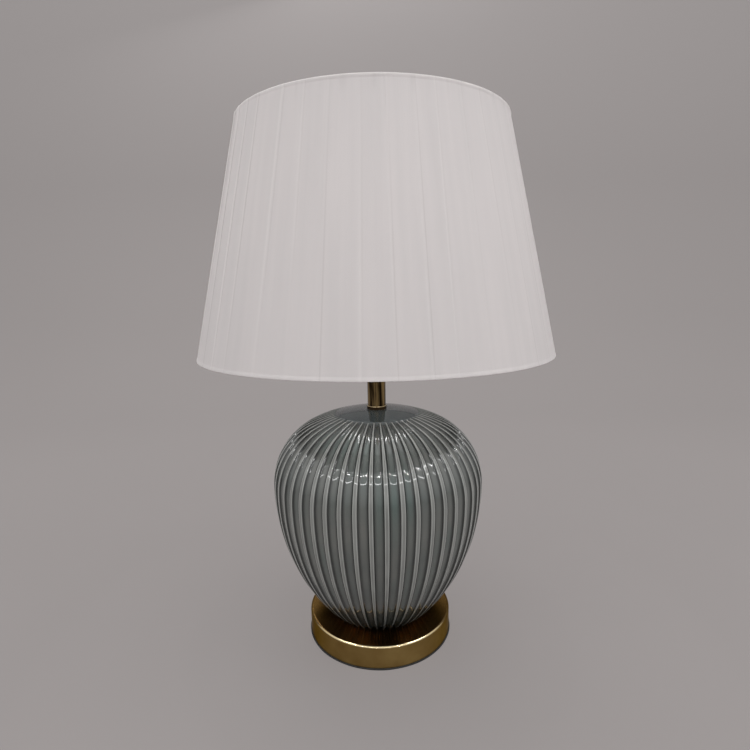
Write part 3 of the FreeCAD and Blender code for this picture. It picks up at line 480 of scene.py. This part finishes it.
def base_brass():
    """Antique brass of the pan: a satin side wall; a darker top, partly patina and partly painted shade, with
    warm patches toward the front that are a painted reflection; and a pale edge between them, partly bare
    brass and partly a painted highlight.
    """
    made = turned_metal("antique_brass", *PAN_WALL_TINTS, roughness=0.30)
    made.set(Specular_Tint=colour(PAN_SHEEN_TINT))
    radius, turn, height = made.polar()
    over = made.spread(height, PAN_SATIN_TOP, PAN_SATIN_TOP + PAN_BLEND)
    away = made.math("ABSOLUTE", made.math("ADD", turn, -FRONT_TURN))
    # Pale edge at the front, dulling away from it: partly bare brass, partly a painted highlight.
    edge = made.mix(made.spread(away, *PAN_HIGHLIGHT_TURNS), PAN_EDGE_HIGHLIGHT_TINT, PAN_EDGE_SIDE_TINT)
    overlay_tint(made, over, edge, roughness=0.09)
    # Darker top, partly patina and partly painted shade, with warm patches toward the front only: a painted
    # reflection.
    top_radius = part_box("base_pan")[1].x - PAN_EDGE_WIDTH
    inner = made.spread(radius, top_radius, top_radius - PAN_BLEND)
    patch = made.noise(made.flat(turn, radius, PAN_REFLECTION_SCALES), detail=2.0)
    warm_reflection = made.times(made.spread(patch, *PAN_REFLECTION_SPAN), made.spread(away, *PAN_REFLECTION_TURNS, 1.0, 0.0))
    top = made.mix(warm_reflection, PAN_TOP_TINT, PAN_REFLECTION_TINT)
    overlay_tint(made, made.times(over, inner), top, roughness=0.27)
    return made


def ring_brass():
    """Dark check ring with a painted highlight on its upper bevel."""
    made = turned_metal("ring_brass", *RING_TINTS, roughness=0.18, uneven=0.04)
    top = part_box("neck_ring")[1].z
    # Lighter upper bevel: a painted highlight.
    rim = made.spread(made.split(made.place)[2], top - RING_BEVEL, top - RING_BEVEL / 2)
    overlay_tint(made, rim, RING_HIGHLIGHT_TINT, roughness=0.16)
    return made


def streaked_brass(name, dark, light, roughness):
    """Dark antique brass with light and dark streaks along its length: brushed patina, partly a painted
    reflection.
    """
    made = Shader(name)
    _, turn, height = made.polar()
    brushed = made.noise(made.flat(turn, height, STREAK_SCALES), detail=4.0, roughness=0.6)
    fine = made.noise(made.flat(turn, height, FINE_STREAK_SCALES))
    made.set(Base_Color=made.mix(made.spread(brushed, *STREAK_SPAN), dark, light), Metallic=1.0)
    made.set(Roughness=made.spread(fine, *MID_NOISE_SPAN, roughness * 0.8, roughness * 1.3))
    made.set(Normal=made.bump(fine, MARK_HEIGHT))
    return made


def plain(name, dark, light, roughness, scale, grain=0.00002):
    """A surface with cloudy colour, uneven roughness and a fine grain."""
    made = Shader(name)
    cloud = made.noise(made.place, scale=scale, detail=5.0)
    fine = made.noise(made.place, scale=scale * 9)
    made.set(Base_Color=made.cloudy(cloud, dark, light), Metallic=0.0)
    made.set(Roughness=made.spread(fine, *WIDE_NOISE_SPAN, roughness * 0.8, min(roughness * 1.15, 1.0)))
    made.set(Normal=made.bump(fine, grain))
    return made


def cloth(name, dark, light, through, weave, creases, folded=False):
    """White cloth that lets some light through, with a fine weave and upright crease lines."""
    made = Shader(name)
    _, turn, height = made.polar()
    around = made.times(turn, CLOTH_RADIUS)
    lines = made.noise(made.upright(around, height, LINE_SCALES), detail=4.0)
    wide = made.noise(made.upright(around, height, BAND_SCALES))
    warp = made.math("SINE", made.times(around, 2 * math.pi / weave))
    weft = made.math("SINE", made.times(height, 2 * math.pi / weave))
    threads = made.times(warp, weft)
    tone = made.mix(made.spread(wide, *MID_NOISE_SPAN), dark, light)
    if folded:
        tone = fold_tones(made, tone, turn, height)
    bumps = made.bump(threads, weave * WEAVE_HEIGHT_SHARE, normal=made.bump(lines, creases))
    made.set(Base_Color=tone, Roughness=0.85, Sheen_Weight=0.15, Sheen_Roughness=0.5, Normal=bumps)
    glow = made.node("ShaderNodeBsdfTranslucent")
    made.feed(glow.inputs["Color"], tone)
    made.feed(glow.inputs["Normal"], bumps)
    made.blend_surface(through, glow)
    return made


def fold_tones(made, tone, turn, height):
    """The cover's tone with the painted shade of faint ticks under its hem, and the painted highlight and
    painted shadow along its folds.
    """
    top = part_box("shade_cover")[1].z
    # Faint dark ticks under the hem: painted shade of fine creases.
    ticks = made.noise(made.join(made.times(turn, TICK_SCALE), 0.0, 0.0), detail=1.0)
    tick_shade = made.times(made.spread(ticks, *TICK_NOISE), made.spread(height, top - TICK_HEIGHT, top))
    tone = made.mix(made.times(tick_shade, TICK_SHARE), tone, TICK_SHADE_TINT)
    # Painted highlight along the folds, partly the thicker folded cloth, and painted shadow in their steps.
    tone = made.mix(made.attribute("crest_highlight"), tone, FOLD_HIGHLIGHT_TINT)
    return made.mix(made.attribute("shadow"), tone, FOLD_SHADOW_TINT)


def opal_glass():
    made = plain("opal_glass", (0.45, 0.445, 0.435), (0.49, 0.485, 0.475), roughness=0.16, scale=40.0,
                 grain=0.000004)
    made.set(Subsurface_Weight=0.2, Coat_Weight=0.5, Coat_Roughness=0.08)
    return made


def ceramic_section():
    """Rows from foot to cap: radius, height and outward slope of the smooth surface over the ribs."""
    lower_x = BELLY_RADIUS - LOWER_ARC
    turn, end = math.radians(FOOT_TURN), math.radians(FOOT_END)
    belly_z = LOWER_ARC * math.sin(turn) + FOOT_ARC * (math.sin(end) - math.sin(turn))
    foot_x = lower_x + (LOWER_ARC - FOOT_ARC) * math.cos(turn)
    foot_z = FOOT_ARC * math.sin(end)
    shoulder_x = BELLY_RADIUS - SHOULDER_ARC
    top = math.radians(SHOULDER_TURN)
    cap_x = shoulder_x + (SHOULDER_ARC - CAP_ARC) * math.cos(top)
    cap_z = belly_z + (SHOULDER_ARC - CAP_ARC) * math.sin(top)
    clear = math.acos((END_CLEAR - cap_x) / CAP_ARC)
    rim = math.acos((BODY_HOLE - cap_x) / CAP_ARC)
    arcs = [
        (foot_x, foot_z, FOOT_ARC, -end, -turn, ROW_STEP),
        (lower_x, belly_z, LOWER_ARC, -turn, 0.0, ROW_STEP),
        (shoulder_x, belly_z, SHOULDER_ARC, 0.0, top, ROW_STEP),
        (cap_x, cap_z, CAP_ARC, top, clear, END_STEP),
        (cap_x, cap_z, CAP_ARC, clear, rim, ROW_STEP)]
    rows = []
    for x, z, radius, first, last, step in arcs:
        count = max(2, math.ceil(radius * (last - first) / step))
        for angle in np.linspace(first, last, count, endpoint=False):
            rows.append((x + radius * math.cos(angle), z + radius * math.sin(angle), angle))
    rows.append((cap_x + CAP_ARC * math.cos(rim), cap_z + CAP_ARC * math.sin(rim), rim))
    return np.array(rows)


def cavity_section(rows):
    """Rows that close the body: down the hole, round the cavity, and under the foot."""
    r, z, angle = rows.T
    inner_r = r - CAVITY_INSET * np.cos(angle)
    inner_z = z - CAVITY_INSET * np.sin(angle)
    kept = [(a, b) for a, b in list(zip(inner_r, inner_z))[::CAVITY_STRIDE]
            if b > BODY_FLOOR + ROW_STEP and a > BODY_HOLE]
    foot = rows[0][0]
    return ([(BODY_HOLE, kept[-1][1])] + kept[::-1] + [
        (np.interp(BODY_FLOOR, inner_z[:len(kept)], inner_r[:len(kept)]), BODY_FLOOR),
        (BODY_HOLE, BODY_FLOOR),
        (BODY_HOLE, FOOT_RECESS),
        (foot - FOOT_RING, FOOT_RECESS),
        (foot - FOOT_RING, 0.0)])


def rib_wander(chance, up, shares):
    """How far the ribs stray sideways up the body, as hand-cut ones do. The flutes between them follow."""
    bow, twist = chance.uniform(-1, 1, (2, RIBS))
    bowed = np.outer(np.sin(math.pi * up), bow)
    twisted = 0.5 * np.outer(np.sin(2 * math.pi * up), twist)
    stray = RIB_WANDER * (bowed + twisted)
    left = np.roll(stray, 1, axis=1)[:, :, None] * (0.5 - shares)
    right = stray[:, :, None] * (0.5 + shares)
    return (left + right).reshape(len(up), -1)


def ceramic_body():
    """The glazed body, with flutes that have round corners and round upper ends."""
    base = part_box("ceramic_body")[0].z
    rows = ceramic_section()
    radius, height, slope = rows.T[:, :, None]
    shares = np.array([-share for share in PITCH_SHARES[:0:-1]] + list(PITCH_SHARES) + [0.5])
    pitch = 2 * math.pi / RIBS
    turns = (np.arange(RIBS)[:, None] * pitch + shares[None, :] * pitch).reshape(-1)
    across = np.tile(np.abs(shares), RIBS) * pitch

    # Distance into the flute from its rib's edge, and the depth cut there
    widening = smooth((radius - RIB_NARROW_RADIUS) / (BELLY_RADIUS - RIB_NARROW_RADIUS))
    rib_share = RIB_END_SHARE + (RIB_SHARE - RIB_END_SHARE) * widening
    chance = np.random.default_rng(SEED)
    uneven = np.repeat(1 + RIB_UNEVEN * chance.uniform(-1, 1, RIBS), len(shares))
    edge = radius * pitch * (1 - rib_share * uneven) / 2
    strayed = turns + rib_wander(chance, np.linspace(0, 1, len(rows)), shares)
    aside = radius * across[None, :]
    short = np.maximum(FLUTE_END + edge - radius, 0) * (slope > CAP_SLOPE)
    inside = edge - np.sqrt(aside ** 2 + short ** 2)
    relief = smooth((inside + RIB_ROUNDING) / (RIB_ROUNDING + FLUTE_WALL))
    relief = relief * (1 - FLUTE_HOLLOW * (1 - np.clip(inside / edge, 0, 1)) ** 2)
    deep = FLUTE_DEPTH * relief
    outer = on_rings(radius - deep * np.cos(slope), strayed + FRONT_TURN,
                     height - deep * np.sin(slope) + base)
    hidden = np.array([on_rings(r, turns + FRONT_TURN, z + base) for r, z in cavity_section(rows)])

    # Pooled glaze with painted shade, painted highlights, and where the glaze turns to the cap's
    # Dark beside the ribs: pooled glaze, partly painted shade.
    pool_and_shade = smooth(inside / RIB_ROUNDING) * (1 - smooth((inside - POOL_AND_SHADE_START) / POOL_AND_SHADE_FADE)) ** 2
    pool_and_shade = pool_and_shade * np.clip(edge / POOL_AND_SHADE_WIDTH, 0, 1)
    # Dark at the flutes' upper ends: painted shade.
    flute_top_shade = FLUTE_TOP_SHADE * (1 - smooth((radius - FLUTE_END) / FLUTE_TOP_SHADE_FADE)) * (slope > FLUTE_TOP_SHADE_SLOPE)
    pool_and_shade = np.maximum(pool_and_shade, flute_top_shade * relief)
    # Pale line along the ribs' edges: thin glaze, partly a painted highlight.
    crest_highlight = np.exp(-((inside + CREST_INSET) / CREST_WIDTH) ** 2)
    cap = (1 - smooth((radius - FLUTE_END + CAP_LEAD) / CAP_FADE)) * (slope > CAP_SLOPE)
    cap = np.broadcast_to(cap, relief.shape)
    blank = np.zeros(hidden.shape[:2])
    body = round_mesh("glazed_body", np.concatenate([outer, hidden]), {
        "relief": np.concatenate([relief, blank]),
        "pool_and_shade": np.concatenate([pool_and_shade, blank]),
        "crest_highlight": np.concatenate([crest_highlight, blank]),
        "cap": np.concatenate([cap, blank + 1])}, sharp=BODY_SHARP)
    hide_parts("ceramic_body")
    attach(body, "lamp")
    dress(body, glaze())


def fold_places(chance):
    """Turns of the folds in radians, at the bottom and at the top.

    The front ones stand as seen, the rest evenly, and each is a little off at both ends.
    """
    first, last = FRONT_FOLDS[0], FRONT_FOLDS[-1]
    rest = np.linspace(last, first + 360, PLEATS - len(FRONT_FOLDS) + 2)[1:-1]
    folds = np.concatenate([FRONT_FOLDS, rest])
    top = folds + chance.uniform(-FOLD_WANDER_TOP, FOLD_WANDER_TOP, PLEATS)
    bottom = folds + chance.uniform(-FOLD_WANDER_BOTTOM, FOLD_WANDER_BOTTOM, PLEATS)
    return np.radians(bottom), np.radians(top)


def pleat_angles(folds, shares):
    """Turns of every column, where each pleat runs from its own step to the next."""
    wide = np.diff(np.append(folds, folds[0] + 2 * math.pi))
    return (folds[:, None] + wide[:, None] * shares).reshape(-1)


def crease_relief(angle, up, chance):
    """Shallow dents of the finer creases, each along a slightly slanted line."""
    relief = np.zeros_like(angle)
    for _ in range(CREASES):
        place = chance.uniform(0, 2 * math.pi) + chance.uniform(-CREASE_LEAN, CREASE_LEAN) * (up - 0.5)
        width = chance.uniform(*CREASE_WIDTHS)
        size = chance.uniform(*CREASE_DEPTHS)
        away = (angle - place + math.pi) % (2 * math.pi) - math.pi
        length = smooth(CREASE_REACH - np.abs(up - chance.uniform(0, 1)) * CREASE_FADE)
        relief += size * length * np.exp(-(away / width) ** 2)
    return relief


def pleated_cover():
    """Pleated cloth cover. Each pleat rises to a fold on its right, then steps back down."""
    low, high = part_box("shade_cover")
    tall = high.z - low.z
    hem_rise = smooth(np.linspace(0, 1, HEM_ROWS)) * HEM_HEIGHT
    rise = np.concatenate([hem_rise, np.linspace(HEM_HEIGHT, tall - HEM_HEIGHT, COVER_ROWS)[1:-1],
                           tall - HEM_HEIGHT + hem_rise])
    up = (rise / tall)[:, None]
    chance = np.random.default_rng(SEED)
    bottom, top = fold_places(chance)
    shares = np.array(PLEAT_SHARES)
    angle = pleat_angles(bottom, shares) * (1 - up) + pleat_angles(top, shares) * up

    # Each pleat's strength fades up or down the shade
    others = chance.uniform(*OTHER_STRENGTHS, PLEATS - len(FRONT_STRENGTHS))
    strength = np.concatenate([FRONT_STRENGTHS, others])
    fade = chance.uniform(0.0, 1.0, PLEATS)
    share = np.tile(shares, PLEATS)[None, :]
    pleat = np.repeat(np.arange(PLEATS), len(shares))
    weight = strength[pleat] * (0.5 + 0.5 * np.cos(math.pi * (up - fade[pleat])))
    climb = np.where(share <= FOLD_SHARE, share / FOLD_SHARE, (1 - share) / (1 - FOLD_SHARE))
    depth = PLEAT_DEPTH * (1 - climb * weight) + crease_relief(angle, up, chance)

    # The hems lie flatter and stand a little proud, with rounded edges
    edge = np.minimum(rise, rise[-1] - rise)[:, None]
    hem = smooth(1 - edge / HEM_HEIGHT)
    depth = depth * (1 - HEM_FLATTENS * hem) - HEM_SWELL * smooth(hem * HEM_EDGE)
    depth = np.clip(depth, 0, COVER_THICKNESS * COVER_DENT_SHARE)
    tuck = EDGE_ROUNDING * (1 - np.sqrt(1 - np.clip(1 - edge / EDGE_ROUNDING, 0, 1) ** 2))
    cone = COVER_BOTTOM_RADIUS + (COVER_TOP_RADIUS - COVER_BOTTOM_RADIUS) * up
    height = rise[:, None] + low.z
    outer = on_rings(cone - depth - tuck, angle + FRONT_TURN, height)
    inner = on_rings(cone - COVER_THICKNESS + tuck, angle + FRONT_TURN, height)

    # Painted highlight along each fold, partly the thicker folded cloth, and painted shadow in the step beside
    # it.
    crest_highlight = weight * np.exp(-((share - FOLD_SHARE + FOLD_HIGHLIGHT_LEAD) / FOLD_HIGHLIGHT_WIDTH) ** 2)
    from_step = (share + 0.5) % 1 - 0.5
    shadow = weight * np.exp(-((from_step - FOLD_SHADOW_LAG) / FOLD_SHADOW_WIDTH) ** 2) * FOLD_SHADOW_SHARE
    blank = np.zeros_like(angle)
    cover = round_mesh("pleated_cover", np.concatenate([outer, inner[::-1]]), {
        "crest_highlight": np.concatenate([crest_highlight, blank]),
        "shadow": np.concatenate([shadow, blank])}, sharp=COVER_SHARP)
    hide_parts("shade_cover")
    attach(cover, "shade")
    dress(cover, cloth("chiffon", (0.740, 0.712, 0.712), (0.780, 0.748, 0.747), through=0.45, weave=0.0007,
                       creases=0.00007, folded=True))


def felt_sheet():
    """Felt disc under the base, cut by hand, with a soft edge that bulges out below the pan's wall."""
    low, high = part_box("felt_pad")
    chance = np.random.default_rng(SEED)
    turns = np.linspace(0, 2 * math.pi, FELT_COLUMNS, endpoint=False)
    wander = sum(chance.uniform(-1, 1) * np.sin(count * turns + chance.uniform(0, 2 * math.pi))
                 for count in FELT_WAVES) * FELT_UNEVEN
    section = [
        (0.0, low.z), (FELT_RADIUS - FELT_ROUND, low.z), (FELT_RADIUS, low.z + FELT_ROUND),
        (FELT_RADIUS, FELT_UNDER - FELT_ROUND), (FELT_RADIUS - FELT_ROUND, FELT_UNDER),
        (high.x, FELT_UNDER), (high.x, high.z), (0.0, high.z)]
    rows = [on_rings(radius + wander * (radius > high.x), turns, height) for radius, height in section]
    disc = round_mesh("felt_disc", np.array(rows))
    net = bmesh.new()
    net.from_mesh(disc.data)
    bmesh.ops.remove_doubles(net, verts=net.verts, dist=0.000001)
    net.to_mesh(disc.data)
    net.free()
    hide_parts("felt_pad")
    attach(disc, "lamp")
    dress(disc, plain("felt", (0.008, 0.008, 0.008), (0.020, 0.020, 0.020), roughness=0.95, scale=300.0,
                      grain=0.0003))


def dress_nodes():
    """Every CAD node that stays gets a finish by what it is made of."""
    finishes = [
        (base_brass(), ["base_pan"]),
        (streaked_brass("neck_brass", (0.020, 0.012, 0.005), (0.33, 0.235, 0.105), roughness=0.14),
         ["neck_tube", "neck_cap"]),
        (ring_brass(), ["neck_ring"]),
        (turned_metal("bright_brass", (0.66, 0.47, 0.20), (0.74, 0.55, 0.26), roughness=0.20),
         ["harp_saddle", "harp_loop", "front_ferrule", "rear_ferrule", "harp_stud", "finial"]),
        (turned_metal("aged_brass", (0.075, 0.050, 0.024), (0.115, 0.078, 0.038), roughness=0.26),
         ["socket_cap", "socket_shell"]),
        (turned_metal("satin_brass", (0.60, 0.45, 0.22), (0.68, 0.52, 0.27), roughness=0.30),
         ["screw_shell", "centre_contact", "live_terminal", "switch_spindle"]),
        (turned_metal("zinc_steel", (0.50, 0.50, 0.48), (0.62, 0.62, 0.60), roughness=0.32),
         ["base_washer", "base_nut", "threaded_tube", "saddle_nut", "socket_cap_screw", "neutral_terminal"]),
        (turned_metal("bulb_aluminium", (0.70, 0.70, 0.70), (0.78, 0.78, 0.78), roughness=0.24),
         ["bulb_cap", "bulb_contact"]),
        (plain("black_phenolic", (0.018, 0.016, 0.015), (0.030, 0.027, 0.025), roughness=0.24, scale=90.0),
         ["switch_body", "switch_knob", "bulb_insulator"]),
        (plain("black_nylon", (0.020, 0.020, 0.020), (0.034, 0.034, 0.034), roughness=0.55, scale=120.0),
         ["cord_bushing"]),
        (plain("white_enamel", (0.43, 0.426, 0.418), (0.48, 0.476, 0.468), roughness=0.45, scale=60.0),
         ["shade_spider", "top_ring", "bottom_ring"]),
        (cloth("lining_sheet", (0.74, 0.73, 0.72), (0.78, 0.77, 0.76), through=0.45, weave=0.0012,
               creases=0.00005),
         ["shade_lining"]),
        (plain("fibre_board", (0.26, 0.19, 0.12), (0.36, 0.28, 0.18), roughness=0.85, scale=200.0,
               grain=0.0001),
         ["base_board", "socket_liner"]),
        (plain("cement", (0.34, 0.33, 0.31), (0.44, 0.43, 0.41), roughness=0.9, scale=70.0, grain=0.0004),
         ["base_weight"]),
        (opal_glass(), ["bulb_glass"])]
    for shader, names in finishes:
        for name in names:
            mesh = dress(nodes[name], shader).data
            mesh.polygons.foreach_set("use_smooth", [True] * len(mesh.polygons))
            mesh.set_sharp_from_angle(angle=math.radians(NODE_SHARP))


def backdrop():
    """Floor that sweeps up into a wall."""
    line = [(FLOOR_FRONT, 0.0)]
    for step in range(SWEEP_STEPS + 1):
        angle = math.pi / 2 * step / SWEEP_STEPS
        line.append((FLOOR_BACK + SWEEP_RADIUS * math.sin(angle), SWEEP_RADIUS * (1 - math.cos(angle))))
    line.append((FLOOR_BACK + SWEEP_RADIUS, WALL_TOP))
    half = FLOOR_WIDTH / 2
    points = [(x, y, z) for y, z in line for x in (-half, half)]
    faces = [(i, i + 1, i + 3, i + 2) for i in range(0, len(points) - 2, 2)]
    mesh = bpy.data.meshes.new("backdrop")
    mesh.from_pydata(points, [], faces)
    mesh.polygons.foreach_set("use_smooth", [True] * len(faces))
    sweep = link(bpy.data.objects.new("backdrop", mesh))
    made = Shader("backdrop_paper")
    cloud = made.noise(made.place, scale=1.5)
    high = made.spread(made.split(made.place)[2], *PAPER_FADE)
    low = made.cloudy(cloud, tuple(part * FLOOR_CLOUD for part in FLOOR_COLOUR), FLOOR_COLOUR)
    made.set(Base_Color=made.mix(high, low, WALL_COLOUR), Roughness=0.9, Specular_IOR_Level=0.1)
    glow = made.node("ShaderNodeEmission")
    made.feed(glow.inputs["Color"], made.mix(high, PAPER_GREY, PAPER_TOP_GREY))
    path = made.node("ShaderNodeLightPath").outputs
    seen = made.math("MAXIMUM", path["Is Camera Ray"],
                     made.math("MAXIMUM", path["Is Glossy Ray"], path["Is Transmission Ray"]))
    made.blend_surface(made.times(seen, PAPER_GLOW), glow)
    dress(sweep, made)


def sky():
    """Soft white light from all round, dimmer below the horizon. Seen directly, it is as grey as paper."""
    world = bpy.data.worlds.new("studio")
    bpy.context.scene.world = world
    world.use_nodes = True
    tree, links = world.node_tree.nodes, world.node_tree.links
    place = tree.new("ShaderNodeTexCoord")
    parts = tree.new("ShaderNodeSeparateXYZ")
    share = tree.new("ShaderNodeMapRange")
    share.interpolation_type = "SMOOTHSTEP"
    share.inputs["From Min"].default_value, share.inputs["From Max"].default_value = SKY_SPAN
    light = tree.new("ShaderNodeMix")
    light.data_type = "RGBA"
    light.inputs[MIX_FIRST].default_value = colour(SKY_LOW)
    light.inputs[MIX_SECOND].default_value = colour(SKY_HIGH)
    seen = tree.new("ShaderNodeMix")
    seen.data_type = "RGBA"
    seen.inputs[MIX_SECOND].default_value = colour(PAPER_GREY)
    links.new(place.outputs["Generated"], parts.inputs[0])
    links.new(parts.outputs["Z"], share.inputs["Value"])
    links.new(share.outputs[0], light.inputs[0])
    links.new(tree.new("ShaderNodeLightPath").outputs["Is Camera Ray"], seen.inputs[0])
    links.new(light.outputs[MIX_RESULT], seen.inputs[MIX_FIRST])
    links.new(seen.outputs[MIX_RESULT], tree["Background"].inputs["Color"])


def inner_fill():
    """Faint light behind the front of the shade, as if through its cloth, kept out of the reflections."""
    for turn in FILL_TURNS:
        angle = math.radians(turn)
        data = bpy.data.lights.new("inner_fill", "POINT")
        data.energy = FILL_POWER / len(FILL_TURNS)
        data.shadow_soft_size = FILL_SIZE
        light = link(bpy.data.objects.new("inner_fill", data))
        light.location = (FILL_REACH * math.sin(angle), -FILL_REACH * math.cos(angle), FILL_HEIGHT)
        light.visible_glossy = False
        light.visible_camera = False


def lamp(name, size, power, place):
    """A rectangular soft light that faces the lamp's body."""
    data = bpy.data.lights.new(name, "AREA")
    data.shape = "RECTANGLE"
    data.size, data.size_y = size
    data.energy = power
    light = link(bpy.data.objects.new(name, data))
    light.location = place
    light.rotation_euler = (Vector(place) - Vector(AIM)).to_track_quat("Z", "Y").to_euler()


def lamp_arc(name, count, span, reach, height, size, power):
    """A row of like lamps that share the power, on an arc before the object. A negative reach is behind it."""
    for number in range(count):
        turn = math.radians(span * (number / (count - 1) - 0.5))
        lamp(name, size, power / count, (reach * math.sin(turn), -reach * math.cos(turn), height))


def lights():
    """Sky, soft keys on all sides, and the arcs of lamps that the glaze mirrors as lines and dots."""
    sky()
    inner_fill()
    lamp_arc("front_strip", count=13, span=120.0, reach=2.30, height=1.60, size=(0.42, 0.05), power=10.0)
    lamp_arc("glint", count=10, span=110.0, reach=1.75, height=1.88, size=(0.03, 0.03), power=12.0)
    lamp("top_panel", size=(1.4, 1.8), power=3.0, place=(0, 0.45, 3.0))
    lamp_arc("rear_strip", count=8, span=200.0, reach=-1.14, height=2.40, size=(0.57, 0.07), power=23.0)
    lamp("rear_key", size=(1.6, 0.5), power=14.0, place=(-0.3, 1.5, 1.7))
    lamp("left_key", size=(1.0, 0.5), power=4.4, place=(-1.3, -0.6, 1.9))
    lamp("right_key", size=(1.0, 0.5), power=11.0, place=(1.5, -0.5, 1.9))


def camera():
    data = bpy.data.cameras.new("camera")
    data.sensor_width = SENSOR
    data.sensor_fit = "HORIZONTAL"
    data.lens = SENSOR * FOCAL_PIXELS / IMAGE_SIDE
    data.clip_start = CLIP_START
    view = link(bpy.data.objects.new("camera", data))
    tilt = Matrix.Rotation(math.radians(90 - CAMERA_PITCH), 4, "X")
    roll = Matrix.Rotation(math.radians(CAMERA_ROLL), 4, "Z")
    place = Matrix.Translation((CAMERA_X, -CAMERA_DISTANCE, CAMERA_HEIGHT))
    view.matrix_world = place @ tilt @ roll
    bpy.context.scene.camera = view


camera()
backdrop()
lights()
bpy.context.scene.view_settings.view_transform = "Standard"
dress_nodes()
ceramic_body()
pleated_cover()
felt_sheet()
